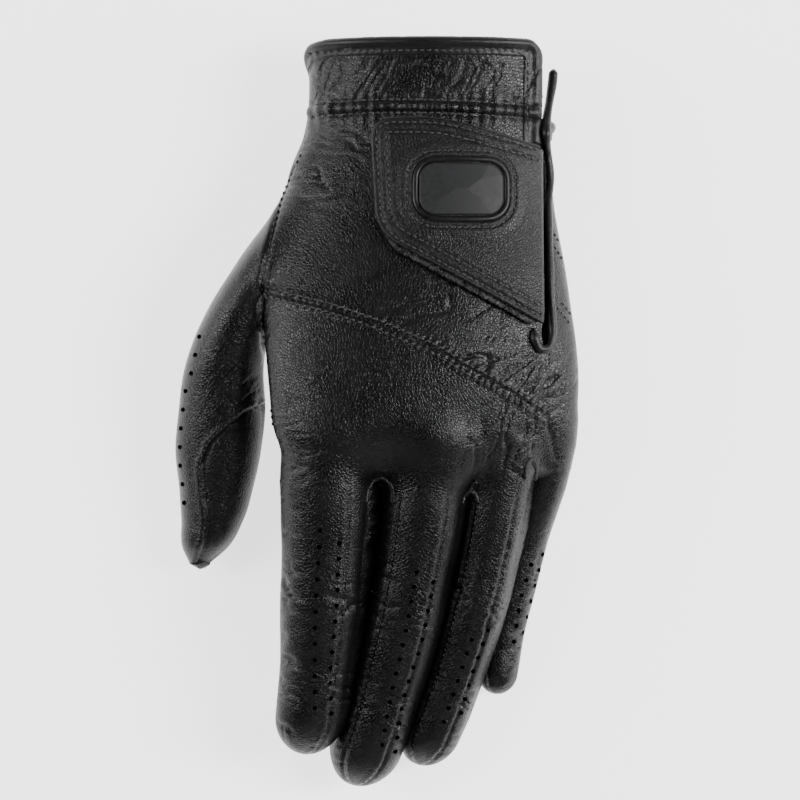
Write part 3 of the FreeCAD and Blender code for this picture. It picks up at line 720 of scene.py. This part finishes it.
# ---------------------------------------------------------------- cutting the skin into panels
def slit_opening(p):
    """Distance outside the slit, which widens a little at its closed end."""
    slit, _ = line_distance(p[:, :2], SLIT)
    half = SLIT_HALF + 1.0 * bell(p[:, 1] - 24.5, 3.0)
    return np.where((p[:, 2] > 18) & (p[:, 1] > 16), np.abs(slit) - half, 9.0)


def fork_edge(side, p, lab):
    """Positive inside the strip on one side of a finger."""
    out = np.full(len(p), -9.0)
    for k, name in enumerate(NAMES):
        if side in FORK_SIDES[name]:
            own = lab == k + 1
            q, u, _, _, _ = finger[name].local(p[own])
            out[own] = side * u - FORK * half_here(name, q)
    return out


def finger_middle(p, lab):
    """Height above a finger's centre line."""
    out = np.full(len(p), 9.0)
    for k, name in enumerate(NAMES):
        own = lab == k + 1
        out[own] = finger[name].local(p[own])[2]
    return out


# every cut of the skin: where a field is zero, two panels meet or the leather ends
CUTS = {
    "cuff": lambda p, lab: cuff_inset(p),
    "slit": lambda p, lab: slit_opening(p),
    "band": lambda p, lab: cuff_inset(p) - BINDING,
    "fold": lambda p, lab: hand_local(p)[1],
    "knuckle": lambda p, lab: line_distance(p[:, :2], KNUCKLE_SEAM)[0],
    "thumb": lambda p, lab: line_distance(p[:, :2], THUMB_SEAM)[0],
    "side": lambda p, lab: line_distance(p[:, :2], SIDE_LINE)[0],
    "wrist": lambda p, lab: p[:, 1] - np.interp(p[:, 0], *np.array(WRIST_SEAM).T),
    "ball": lambda p, lab: p[:, 0] + 25.0,
    "start": lambda p, lab: p[:, 1] - SKIN_CUT,
    "stop": lambda p, lab: p[:, 1] - THUMB_CUT,
    "half": finger_middle,
    "left": lambda p, lab: fork_edge(-1, p, lab),
    "right": lambda p, lab: fork_edge(1, p, lab),
    "inner": lambda p, lab: line_distance(p[:, :2], THUMB_INNER)[0],
}
for cut_name, cut_field in CUTS.items():
    g = cut_field(skin_v, label)
    skin_v, skin_t, g, (normals, label) = cut_by_field(skin_v, skin_t, g, [normals, label])
    if cut_name in ("cuff", "slit"):
        skin_t = skin_t[g[skin_t].sum(1) > 0]


def resampled(line, count, **ends):
    """Evenly numbered places along a line."""
    run = np.linspace(0, len(line) - 1, count, **ends)
    return np.stack([np.interp(run, np.arange(len(line)), line[:, k]) for k in (0, 1)], 1)


hole_sites = []
for rows in HOLES.values():
    for points, count in rows:
        hole_sites += list(resampled(smooth_line(points, 0.5), count))
g = np.full(len(skin_v), 9.0)
for hx, hy in hole_sites:
    around = (np.abs(skin_v[:, 0] - hx) < 3) & (np.abs(skin_v[:, 1] - hy) < 3)
    close = np.where(around & (normals[:, 2] > 0.12))[0]
    g[close] = np.minimum(g[close], np.hypot(skin_v[close, 0] - hx, skin_v[close, 1] - hy) - HOLE)
skin_v, skin_t, g, (normals, label) = cut_by_field(skin_v, skin_t, g, [normals, label], snap=0.08)
skin_t = skin_t[g[skin_t].sum(1) > 0]
normals = unit(normals)
centre = skin_v[skin_t].mean(1)
tri_label = label[skin_t].max(1)
at = {cut_name: cut_field(centre, tri_label) for cut_name, cut_field in CUTS.items()}
on_finger = (tri_label >= 1) & (tri_label <= 4) & (at["start"] < 0)
on_thumb = (tri_label == 5) & (at["stop"] < 0)
on_hand = ~on_finger & ~on_thumb
upper = at["fold"] > 0
flap = upper & (at["side"] > 0)
# the lines run towards +x or towards the fingers, so their left side is where the distance is positive
masks = {
    "thumb_base_panel": on_hand & np.where(upper, at["thumb"] < 0, at["ball"] < 0) & (centre[:, 1] < 74),
}
back = on_hand & upper & ~flap & ~masks["thumb_base_panel"]
masks["wrist_band"] = back & (at["wrist"] > 0)
masks["knuckle_panel"] = back & (at["knuckle"] < 0) & (at["wrist"] <= 0)
masks["back_panel"] = back & (at["knuckle"] >= 0) & (at["wrist"] <= 0)
masks["palm_panel"] = on_hand & ~back & ~masks["thumb_base_panel"]
for k, name in enumerate(NAMES):
    own = on_finger & (tri_label == k + 1)
    fork = np.zeros(len(own), bool)
    for side, word, key in ((-1, "inner", "left"), (1, "outer", "right")):
        if side in FORK_SIDES[name]:
            masks[f"{name}_fork_{word}"] = own & (at[key] > 0)
            fork |= at[key] > 0
    masks[f"{name}_back"] = own & ~fork & (at["half"] > 0)
    masks[f"{name}_palm"] = own & ~fork & (at["half"] <= 0)
masks["thumb_back"] = on_thumb & (at["inner"] < 0)
masks["thumb_palm"] = on_thumb & (at["inner"] >= 0)


# ---------------------------------------------------------------- materials
class Look:
    """A node material whose textures stay on each piece, because they follow its own rest place."""

    def __init__(self, name, colour, roughness, specular=0.24):
        self.material = bpy.data.materials.new(name)
        self.material.use_nodes = True
        tree = self.material.node_tree
        self.nodes, self.links = tree.nodes, tree.links
        self.shader = self.nodes["Principled BSDF"]
        self.shader.inputs["Base Color"].default_value = (*colour, 1)
        self.shader.inputs["Roughness"].default_value = roughness
        self.shader.inputs["Specular IOR Level"].default_value = specular
        rest = self.nodes.new("ShaderNodeAttribute")
        rest.attribute_name = "rest"
        self.where = rest.outputs["Vector"]

    def node(self, kind, out, given, **settings):
        """Adds a node. Each socket is given a number, a colour or another node's output."""
        new = self.nodes.new("ShaderNode" + kind)
        for key, value in settings.items():
            setattr(new, key, value)
        for key, value in given.items():
            if isinstance(value, bpy.types.NodeSocket):
                self.links.new(value, new.inputs[key])
            else:
                new.inputs[key].default_value = value
        return new.outputs[out]

    def noise(self, scale, detail=3.0, rough=0.55):
        given = {"Vector": self.where, "Scale": scale, "Detail": detail, "Roughness": rough}
        return self.node("TexNoise", "Fac", given)

    def mapped(self, value, a, b, c, d):
        """Stretches a to b out over c to d."""
        given = {"Value": value, "From Min": a, "From Max": b, "To Min": c, "To Max": d}
        return self.node("MapRange", "Result", given)

    def bump(self, height, distance, before=None):
        given = {"Distance": distance, "Strength": 1.0, "Height": height}
        if before is not None:
            given["Normal"] = before
        return self.node("Bump", "Normal", given)

    def mixed(self, factor, a, b, blend="MIX"):
        given = {"Factor": factor, "A": a, "B": b}
        return self.node("Mix", "Result", given, data_type="RGBA", blend_type=blend)

    def finished(self, normal, colour, roughness):
        for key, value in (("Normal", normal), ("Base Color", colour), ("Roughness", roughness)):
            self.links.new(value, self.shader.inputs[key])
        return self.material


def leather(name, dark, light, roughness, cell, depth, fold):
    """Pebbled leather: small rounded grains, fine creases between them with painted shade in them, and a
    slightly uneven dye.
    """
    look = Look(name, dark, roughness)
    warp = look.node("TexNoise", "Color", {"Vector": look.where, "Scale": 900, "Detail": 2})
    pushed = look.node("VectorMath", "Vector", {0: warp, 1: (0.0007, 0.0007, 0.0007), 2: look.where},
                       operation="MULTIPLY_ADD")
    edge = look.node("TexVoronoi", "Distance", {"Vector": pushed, "Scale": 1 / cell},
                     feature="DISTANCE_TO_EDGE")
    grain = look.mapped(edge, 0.0, 0.22, 0.0, 1.0)
    dye = look.noise(95, 4.0)
    normal = look.bump(look.noise(620, 4.0, 0.6), fold * 1.2, look.bump(grain, depth))
    normal = look.bump(look.noise(4200, 2.0), 0.00002, normal)
    tone = look.mixed(look.mapped(dye, 0.3, 0.7, 0.0, 1.0), (*dark, 1), (*light, 1))
    # painted shade: the colour is darkened to 0.62 in the crevices between the grains
    tone = look.mixed(look.mapped(edge, 0.0, 0.12, 1.0, 0.0), tone, (0.62, 0.62, 0.64, 1), "MULTIPLY")
    gloss = look.mapped(dye, 0.3, 0.7, roughness - 0.05, roughness + 0.05)
    dull = look.mapped(edge, 0.0, 0.12, 0.09, 0.0)
    gloss = look.node("Math", "Value", {0: gloss, 1: dull}, operation="ADD")
    return look.finished(normal, tone, gloss)


def woven(name, dark, light, roughness, pitch, depth):
    """Threads or loops of one pitch, uneven and slightly shiny."""
    look = Look(name, dark, roughness)
    cells = look.node("TexVoronoi", "Distance", {"Vector": look.where, "Scale": 1 / pitch})
    spread = look.noise(0.35 / pitch)
    normal = look.bump(look.mapped(cells, 0.0, 0.7, 1.0, 0.0), depth)
    normal = look.bump(look.noise(3 / pitch, 2.0), depth * 0.4, normal)
    tone = look.mixed(look.mapped(spread, 0.35, 0.65, 0.0, 1.0), (*dark, 1), (*light, 1))
    return look.finished(normal, tone, look.mapped(spread, 0.3, 0.7, roughness - 0.08, roughness + 0.08))


# dark and light tone, roughness, size of the grain, its depth and the depth of the folds, in metres
LEATHERS = {
    "glove_leather": ((0.0020, 0.0020, 0.0022), (0.0034, 0.0034, 0.0037), 0.29, 0.00085, 0.000055, 0.000035),
    "gusset_leather": ((0.0022, 0.0022, 0.0024), (0.0036, 0.0036, 0.0039), 0.32, 0.00085, 0.000055, 0.000035),
    "binding_leather": ((0.0045, 0.0045, 0.005), (0.007, 0.007, 0.0075), 0.34, 0.0007, 0.00003, 0.00003),
    "tab_leather": ((0.0034, 0.0034, 0.0038), (0.0054, 0.0054, 0.0058), 0.36, 0.0008, 0.00007, 0.00004),
}
# dark and light tone, roughness, pitch of the threads or loops and their depth, in metres
WOVENS = {
    "lining": ((0.02, 0.02, 0.021), (0.03, 0.03, 0.031), 0.8, 0.0006, 0.0001),
    "hook_nylon": ((0.008, 0.008, 0.009), (0.06, 0.06, 0.062), 0.3, 0.0009, 0.0005),
    "loop_nylon": ((0.012, 0.012, 0.012), (0.03, 0.03, 0.03), 0.8, 0.0005, 0.0003),
    "badge_rubber": ((0.011, 0.0113, 0.012), (0.014, 0.0143, 0.015), 0.55, 0.0004, 0.000008),
    "rim_rubber": ((0.002, 0.002, 0.002), (0.004, 0.004, 0.004), 0.4, 0.0005, 0.00001),
    "thread": ((0.028, 0.028, 0.030), (0.050, 0.050, 0.053), 0.40, 0.00025, 0.00004),
    "elastic": ((0.014, 0.014, 0.015), (0.03, 0.03, 0.032), 0.7, 0.0012, 0.0003),
    "label_cloth": ((0.55, 0.55, 0.54), (0.66, 0.66, 0.65), 0.85, 0.0003, 0.00005),
}
MATS = {name: leather(name, *values) for name, values in LEATHERS.items()}
MATS.update({name: woven(name, *values) for name, values in WOVENS.items()})


# ---------------------------------------------------------------- pieces
def put(name, verts, tris, material, loop_normals=None):
    """A triangle mesh in millimetres becomes a piece, with its own rest place kept for the grain."""
    me = bpy.data.meshes.new(name)
    me.vertices.add(len(verts))
    me.vertices.foreach_set("co", (np.asarray(verts) * MM).astype(np.float32).ravel())
    me.loops.add(len(tris) * 3)
    me.loops.foreach_set("vertex_index", np.asarray(tris, np.int32).ravel())
    me.polygons.add(len(tris))
    me.polygons.foreach_set("loop_start", np.arange(len(tris), dtype=np.int32) * 3)
    me.polygons.foreach_set("use_smooth", np.full(len(tris), True))
    me.update(calc_edges=True)
    me.validate()
    if loop_normals is not None and len(me.loops) == len(loop_normals):
        me.normals_split_custom_set(loop_normals.astype(np.float32))
    obj = linked(name, me)
    keep_rest(obj)
    obj.data.materials.append(MATS[material])
    return obj


def keep_rest(obj):
    co = np.empty(len(obj.data.vertices) * 3, np.float32)
    obj.data.vertices.foreach_get("co", co)
    attribute = obj.data.attributes.new("rest", "FLOAT_VECTOR", "POINT")
    attribute.data.foreach_set("vector", co)


def compact(tris, *arrays):
    used = np.unique(tris)
    index = np.full(used[-1] + 1, -1)
    index[used] = np.arange(len(used))
    return index[tris], [a[used] for a in arrays]


def shell(name, tris, material, thickness=LEATHER, outer=None):
    """A panel of the skin with thickness: its outer face keeps the whole skin's smooth normals."""
    t, (v, n) = compact(tris, skin_v, normals)
    if outer is None:
        top, tn = v, n
    else:
        top = v + n * outer(v)[:, None]
        tn = vertex_normals(top, t)
    low = v - n * thickness
    m = len(v)
    e = edges_of(t)
    code = e[:, 0].astype(np.int64) * (m + 1) + e[:, 1]
    back = e[:, 1].astype(np.int64) * (m + 1) + e[:, 0]
    rim = e[~np.isin(code, back)]
    a, b = rim.T
    wall = np.vstack([np.stack([b, a, a + m], 1), np.stack([b, a + m, b + m], 1)])
    allv = np.vstack([top, low])
    wn = unit(face_normals(allv, wall))
    inner = t[:, ::-1] + m
    loops = np.vstack([tn[t.ravel()], -n[t[:, ::-1].ravel()], np.repeat(wn, 3, axis=0)])
    return put(name, allv, np.vstack([t, inner, wall]), material, loops)


# where the skin turns from the hand into a finger, in mm along it (held works these places out but does not
# use them)
BEND_START = 6.5
BEND_END = 25.0


def held(obj, body, *nodes):
    """Rides on the hand or the tab; a thumb or finger piece has its place baked into its mesh and bends
    nothing.
    """
    if body in ("hand", "tab"):
        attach(obj, body)
    elif body == "thumb":
        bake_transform(obj)
    else:
        f = finger[body]
        start = f.point([BEND_START / f.length], [0.0])[0]
        end = f.point([BEND_END / f.length], [0.0])[0]
        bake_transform(obj)
    if nodes:
        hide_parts(*nodes)
    return obj


pieces = {}
for name, mask in masks.items():
    body = name.split("_")[0]
    body = body if body in NAMES else ("thumb" if name in ("thumb_back", "thumb_palm") else "hand")
    slot_name = "gusset_leather" if "_fork_" in name else "glove_leather"
    pieces[name] = held(shell("skin_" + name, skin_t[mask], slot_name), body, name)


# ---------------------------------------------------------------- stitches
def bvh_of(objects):
    verts, polys, offset = [], [], 0
    for o in objects:
        v, t = mesh_arrays(o)
        verts.append(v / MM)
        polys.append(t + offset)
        offset += len(v)
    return BVHTree.FromPolygons(np.vstack(verts).tolist(), np.vstack(polys).tolist())


DOWN = Vector((0, 0, -1))


def seated(points, tree):
    """Drops plan points onto a surface: places and normals, where they land."""
    out = []
    for x, y in points:
        hit, normal, _, _ = tree.ray_cast(Vector((x, y, ABOVE)), DOWN)
        out.append((None, None) if hit is None else (np.array(hit), np.array(normal)))
    return out


def stitch_row(points, tree, pitch=PITCH, length=1.4, skip=None):
    """Stitches along a plan line: (middle, direction, normal, length) of each."""
    line = smooth_line(points, 0.25)
    run = lengths_along(line)
    found = []
    for s in np.arange(pitch / 2, run[-1], pitch):
        ends = [np.array([np.interp(s + d, run, line[:, k]) for k in (0, 1)])
                for d in (-length / 2, 0, length / 2)]
        if skip is not None and skip(*ends[1]):
            continue
        (p0, _), (p1, n1), (p2, _) = seated(ends, tree)
        if p0 is None or p1 is None or p2 is None or n1[2] < 0.08:
            continue
        d = p2 - p0
        size = np.linalg.norm(d)
        if size > 3.2 * length:
            continue
        found.append((p1, d / size, n1, min(size, length * 1.6)))
    return found


def stitch_piece(name, rows, body, *nodes, width=0.56, lift=0.12):
    """One mesh of plump stitches that dip at both ends."""
    sides, stations = 7, 6
    verts = []
    for middle, d, n, length in rows:
        for i in range(stations):
            t = -1 + 2 * i / (stations - 1)
            r = width / 2 * math.sqrt(max(0.02, 1 - 0.94 * t * t))
            dip = lift - 0.30 * t * t * t * t
            c = middle + d * (t * length / 2) + n * dip
            verts.append(oval(c, r, r, np.cross(n, d), n, sides))
    if not verts:
        return None
    one = ring_faces(stations, sides)[:, ::-1]
    tris = np.vstack([one + i * sides * stations for i in range(len(rows))])
    return held(put(name, np.vstack(verts), tris, "thread"), body, *nodes)


skin_tree = bvh_of(list(pieces.values()))


def beside(points, gap, spacing=1.0):
    """A plan line moved to its left."""
    line = smooth_line(points, spacing)
    d = unit(np.gradient(line, axis=0))
    return line + np.stack([-d[:, 1], d[:, 0]], 1) * gap


def rows_beside(points, gaps, *stitching):
    """Rows of stitches in the skin, each at its own distance from a plan line."""
    return [s for gap in gaps for s in stitch_row(beside(points, gap), skin_tree, *stitching)]


tab_shape = rounded(TAB)


def under_tab(x, y):
    return outline_distance(np.array([[x, y]]), tab_shape)[0] > -0.4


knuckle_rows = rows_beside(KNUCKLE_SEAM[1:-1], (ROW_GAP, -ROW_GAP))
stitch_piece("knuckle_seam_stitches", knuckle_rows, "hand", "knuckle_seam_thread")
wrist_line = [(-20.5, 90.4), (0, 91), (20, 90.8), (47.6, 89.6)]
wrist_rows = rows_beside(wrist_line, (WRIST_GAP, -WRIST_GAP), 2.0, 1.5, under_tab)
stitch_piece("wrist_seam_stitches", wrist_rows, "hand", "wrist_seam_thread")
thumb_rows = rows_beside([(-22.5, 78), *THUMB_SEAM[2:9]], (0.25,), 2.0, 1.3)
stitch_piece("thumb_seam_stitches", thumb_rows, "hand", "thumb_seam_thread")
flap_rows = []
for ends in ([(49.5, 76), (53.4, 71)], [(51.3, 53), (56.7, 44.5)], [(53.7, 32), (58.2, 26.5)]):
    flap_rows += rows_beside(ends, (0.0, 2.0), 1.7, 1.1)
stitch_piece("flap_stitches", flap_rows, "hand")

for name in NAMES:
    f = finger[name]
    rows = []
    for side in FORK_SIDES[name]:
        q = np.linspace(6.5 / f.length, 0.985, 60)
        rows += stitch_row(f.point(q, side * (FORK * f.half(q) - 0.75)), skin_tree, 1.7, 1.15)
    stitch_piece(f"{name}_fork_stitches", rows, name, width=0.34, lift=0.0)
stitch_piece("thumb_stitches", rows_beside(THUMB_INNER, (-0.7,), 1.7, 1.15), "thumb", width=0.34, lift=0.0)


# ---------------------------------------------------------------- closure and edges
def sheet_grid(outline, spacing):
    lo, hi = outline.min(0) - 1.0, outline.max(0) + 1.0
    nx, ny = (int(n) + 2 for n in (hi - lo) / spacing)
    gx, gy = np.meshgrid(lo[0] + np.arange(nx) * spacing, lo[1] + np.arange(ny) * spacing, indexing="ij")
    p = np.stack([gx.ravel(), gy.ravel(), np.zeros(nx * ny)], 1)
    i, j = np.meshgrid(np.arange(nx - 1), np.arange(ny - 1), indexing="ij")
    a = (i * ny + j).ravel()
    tris = np.vstack([np.stack([a, a + ny, a + ny + 1], 1), np.stack([a, a + ny + 1, a + 1], 1)])
    p, tris, g, _ = cut_by_field(p, tris, outline_distance(p[:, :2], outline), [], snap=0.2)
    tris = tris[g[tris].sum(1) > 0]
    tris, (p, g) = compact(tris, p, g)
    return p, tris, g


def draped(name, outline, base, thickness, material, edge, body, nodes, raise_by=None, spacing=0.5,
           jitter=0.0):
    """A closed sheet of a plan outline that follows the back of the hand, with rolled edges."""
    p, tris, g = sheet_grid(outline, spacing)
    x, y = p[:, 0], p[:, 1]
    rim = g == 0
    d = np.maximum(g, 0)
    share = 1 - np.minimum(d / edge, 1)
    profile = thickness / 2 * np.sqrt(np.maximum(1 - share * share, 0))
    ground = hand_top(x, y) + base + thickness / 2
    raised = raise_by(x, y) * (1 - share * share) if raise_by else 0
    top = np.stack([x, y, ground + profile + raised], 1)
    low = np.stack([x, y, ground - profile], 1)
    if jitter:
        top[~rim] += rng.normal(0, jitter, (int((~rim).sum()), 3)) * (1, 1, 1.6)
        top[rim, :2] += rng.normal(0, jitter, (int(rim.sum()), 2))
        low[~rim] += rng.normal(0, jitter * 0.5, (int((~rim).sum()), 3))
    m = len(p)
    other = np.where(rim, np.arange(m), np.arange(m) + m)
    verts = np.vstack([top, low])
    faces, (verts,) = compact(np.vstack([tris, other[tris][:, ::-1]]), verts)
    return held(put(name, verts, faces, material), body, *nodes)


def sweep(name, path, wide, high, material, body, *nodes, sides=14, closed=False):
    """An oval bead along a space line; wide and high are half sizes, or functions of the share."""
    path = np.asarray(path, float)
    d = np.gradient(path, axis=0)
    if closed:
        d = np.roll(path, -1, axis=0) - np.roll(path, 1, axis=0)
    d = unit(d)
    side = unit(np.cross((0.0, 0.0, 1.0), d))
    ups = np.cross(d, side)
    verts = []
    n = len(path)
    for i in range(n):
        s = i / (n - 1)
        w = wide(s) if callable(wide) else wide
        h = high(s) if callable(high) else high
        verts.append(oval(path[i], w, h, side[i], ups[i], sides))
    return held(put(name, np.vstack(verts), ring_faces(n, sides, closed), material), body, *nodes)


# the cuff's binding: a rolled bead, then a flat stitched band
def binding_height(v):
    d = np.clip(cuff_inset(v), 0, BINDING)
    bead = 0.30 + 1.15 * np.sqrt(np.maximum(1 - ((d - BEAD / 2) / (BEAD / 2)) ** 2, 0))
    tuck = np.abs(v[:, 0] + v[:, 1] * 0.4)
    flat = (0.48 + 0.10 * wave(tuck, PITCH) * bell(d - 4.2, 0.8)
            - 0.22 * bell(d - 4.3, 0.3))
    flat = flat * np.sqrt(np.clip((BINDING + 0.02 - d) / 0.5, 0.01, 1))
    return np.where(d < BEAD, np.maximum(bead, 0.3 + 0.2 * (d > BEAD / 2)), flat)


cuff_edge = skin_t[on_hand & (at["cuff"] < BINDING)]
held(shell("cuff_binding_roll", cuff_edge, "binding_leather", 1.7, binding_height), "hand", "cuff_binding")
binding_tree = bvh_of([bpy.data.objects["cuff_binding_roll"]])
cuff_row = [(-21, 107.3), (0, 107.3), (25, 107.3), (41.6, 107.2), (43.9, 106.4), (45.0, 104.6), (45.2, 100),
            (45.0, 88)]
stitch_piece("cuff_binding_stitches", stitch_row(cuff_row, binding_tree, PITCH, 1.45, under_tab), "hand")

# the bound edge of the palm's flap stands up beside the slit and turns round its closed end
flap_top = [(53.2, 103.2, 22.0), (52.8, 99, 22.8), (51.8, 93, 24.6), (50.9, 87.5, 27.4), (50.7, 83.5, 29.6)]
flap_plan = [(51.2, 78), (51.9, 71), (51.3, 62), (51.5, 48), (51.8, 36), (52.3, 28), (52.2, 22.6),
             (50.8, 19.4), (48.7, 19.2), (47.2, 21.6), (46.7, 25.4)]
flap_x, flap_y = np.array(flap_plan).T
flap_low = np.column_stack([flap_x, flap_y, hand_top(flap_x, flap_y) + 0.45])
flap_path = smooth_line(np.vstack([flap_top, flap_low]), 0.6)


def blunt(s):
    """Closes a bead at both ends."""
    return min(1, math.sqrt(max(0.03, s / 0.012))) * min(1, math.sqrt(max(0.03, (1 - s) / 0.03)))


sweep("slit_binding_roll", flap_path, lambda s: 1.35 * blunt(s) + 0.1 * math.sin(s * 40),
      lambda s: 1.45 * blunt(s), "binding_leather", "hand", "slit_binding")

# loop patch, hook strip, tab and badge
TAB_OPEN = rounded(((75, 72.6, 0.6), (20, 87.4, 60), (-1.6, 87.4, 5.5), (0.4, 53, 13), (75, 12.8, 0.6)))
TAB_ROWS = (1.5, 4.4)  # from the tab's edge to its two rows of stitches
HOOK = ((48.3, 78.0, 2.0), (20, 85.6, 60), (0.6, 85.6, 4.0), (2.2, 50.1, 11), (48.3, 25.1, 2.0))
half_l, half_w = BADGE_SIZE[0] / 2, BADGE_SIZE[1] / 2


def badge_outline(grow):
    x, y, r = half_l + grow, half_w + grow, 6.0 + grow
    quarters = ((1, 1), (-1, 1), (-1, -1), (1, -1))
    return rounded([(BADGE[0] + sx * x, BADGE[1] + sy * y, min(r, y - 0.05)) for sx, sy in quarters], 14)


def tab_relief(x, y):
    e = outline_distance(np.stack([x, y], 1), TAB_OPEN)
    run = x * 0.9 + y * 0.6
    out = -0.42 * sum(bell(e - inset, 0.5) for inset in TAB_ROWS)
    out += (0.20 + 0.06 * wave(run, 2.0)) * bell(e - 2.95, 0.9)
    b = outline_distance(np.stack([x, y], 1), badge_outline(0.0))
    out += 0.55 * step(b, -6.2, -3.4) - 0.40 * bell(b + 2.5, 0.42) - 0.45 * step(b, -1.4, -0.6)
    out += 0.10 * noise2(x / 9, y / 9)
    return out


draped("loop_patch_pile", rounded(PATCH), 0.05, 0.95, "loop_nylon", 0.6, "hand", ("loop_patch",),
       spacing=0.6, jitter=0.05)
draped("hook_strip_pile", rounded(HOOK), 1.25, 1.25, "hook_nylon", 0.7, "tab", ("hook_strip",),
       spacing=0.42, jitter=0.17)
draped("tab_top", tab_shape, 2.65, 1.45, "tab_leather", 0.75, "tab", ("tab_leather",), tab_relief, 0.42)
tab_tree = bvh_of([bpy.data.objects["tab_top"]])
tab_ring = resampled(np.vstack([TAB_OPEN, TAB_OPEN[:1]]), 400, endpoint=False)
tab_rows = []
for inset in TAB_ROWS:
    p = beside(tab_ring, inset, 0.5)
    p = p[(p[:, 0] < 48.6) & (outline_distance(p, TAB_OPEN) > inset - 0.35)]
    order = np.argsort(np.arctan2(p[:, 1] - 62, 60 - p[:, 0]))
    tab_rows += stitch_row(p[order][::6], tab_tree, 2.05, 1.4)
stitch_piece("tab_stitches", tab_rows, "tab", "tab_thread", width=0.6, lift=0.16)
ring = badge_outline(2.5)
badge_rows = stitch_row(np.vstack([ring, ring[:1]]), tab_tree, 1.9, 1.3)
stitch_piece("badge_stitches", badge_rows, "tab", width=0.48, lift=0.1)


def badge_facets(x, y):
    """Sloping facets that meet in a ridge, a generic shape."""
    u, w = np.abs(x - BADGE[0]), np.abs(y - BADGE[1])
    corner = (half_l + half_w) * 0.80 - u - w
    sides = np.stack([half_w - w, (half_l - u) * 0.75, corner * 0.66], 0).min(0)
    return 0.12 * np.maximum(sides, 0)


draped("badge_plate", badge_outline(-0.9), 3.35, 1.5, "badge_rubber", 0.5, "tab", ("badge",), badge_facets,
       0.35)
seal = badge_outline(0.0)
seal = smooth_line(np.vstack([seal, seal[:1]]), 0.6)[:-1]
seal = np.column_stack([seal, hand_top(seal[:, 0], seal[:, 1]) + 4.35])
sweep("badge_seal", seal, 0.85, 0.6, "rim_rubber", "tab", "badge_rim", closed=True)

# rolled welts at the top of each gap between the fingers
WELTS = [[(-3.0, -26.5), (-2.4, -22.6), (-0.6, -19.8), (1.6, -19.0), (3.9, -20.2), (5.0, -23), (4.9, -26.5)],
         [(25.6, -26.6), (26.4, -24.2), (28.2, -23.0), (29.8, -24.4), (30.3, -26.6)],
         [(44.2, -19.5), (44.4, -15.8), (46.0, -13.6), (47.6, -15.4), (47.6, -19.5)]]
for k, points in enumerate(WELTS):
    line = smooth_line(points, 0.5)
    found = [hit for hit, _ in seated(line, skin_tree)]
    path = np.array([h - (0, 0, 0.25) for h in found if h is not None])
    if len(path) > 6:
        path[:, 2] = np.convolve(np.pad(path[:, 2], 3, mode="edge"), np.ones(7) / 7, "valid")
        stands_for = ("web_gussets",) if k == 0 else ()
        sweep(f"web_welt_{k + 1}", path, 0.85, 0.8, "gusset_leather", "hand", *stands_for)


# ---------------------------------------------------------------- carried-over CAD pieces
SLOT_OF = {"wrist_elastic": "elastic", "care_label": "label_cloth", "tab_lining": "lining"}
for node, slot_name in SLOT_OF.items():
    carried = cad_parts[node]
    carried.data.materials.clear()
    carried.data.materials.append(MATS[slot_name])
    keep_rest(carried)


# ---------------------------------------------------------------- floor, light and camera
floor_mesh = bpy.data.meshes.new("floor")
REACH = 3.0  # half the floor's side
FLOOR_Z = -0.0006
floor_mesh.from_pydata([(x * REACH, y * REACH, FLOOR_Z) for x, y in ((-1, -1), (1, -1), (1, 1), (-1, 1))], [],
                       [(0, 1, 2, 3)])
floor = linked("floor", floor_mesh)
pale = bpy.data.materials.new("pale_floor")
pale.use_nodes = True
for key, value in (("Base Color", (0.92, 0.92, 0.92, 1)), ("Roughness", 0.9),
                   ("Emission Color", (1, 1, 1, 1)), ("Emission Strength", 2.0)):
    pale.node_tree.nodes["Principled BSDF"].inputs[key].default_value = value
floor_mesh.materials.append(pale)

world = bpy.data.worlds.new("soft_studio")
world.use_nodes = True
world.node_tree.nodes["Background"].inputs["Color"].default_value = (1, 1, 1, 1)
world.node_tree.nodes["Background"].inputs["Strength"].default_value = 0.035
bpy.context.scene.world = world


def area_light(name, place, aim, width, height, power):
    light = bpy.data.lights.new(name, "AREA")
    light.shape = "RECTANGLE"
    light.size, light.size_y = width, height
    light.energy = power
    lamp = linked(name, light)
    lamp.location = place
    lamp.rotation_euler = (Vector(aim) - Vector(place)).to_track_quat("-Z", "Y").to_euler()


AIM = (0.0, 0.0, 0.02)
area_light("left_softbox", (-0.92, 0.18, 0.64), AIM, 0.36, 0.9, 15)
area_light("right_softbox", (0.92, 0.08, 0.66), AIM, 0.3, 0.9, 24)
area_light("top_softbox", (0.0, 1.1, 0.7), AIM, 1.0, 0.3, 2)
area_light("front_softbox", (0.1, -1.05, 0.75), AIM, 1.0, 0.35, 3)

CAMERA_HEIGHT = 1.22
VIEW_WIDTH = 0.240
camera_data = bpy.data.cameras.new("camera")
camera_data.sensor_width = 36.0
camera_data.lens = 36.0 * (CAMERA_HEIGHT - 0.02) / VIEW_WIDTH
camera = linked("camera", camera_data)
camera.location = (0.0072, 0.00405, CAMERA_HEIGHT)
camera.rotation_euler = (0.0, 0.0, 0.0)
bpy.context.scene.camera = camera
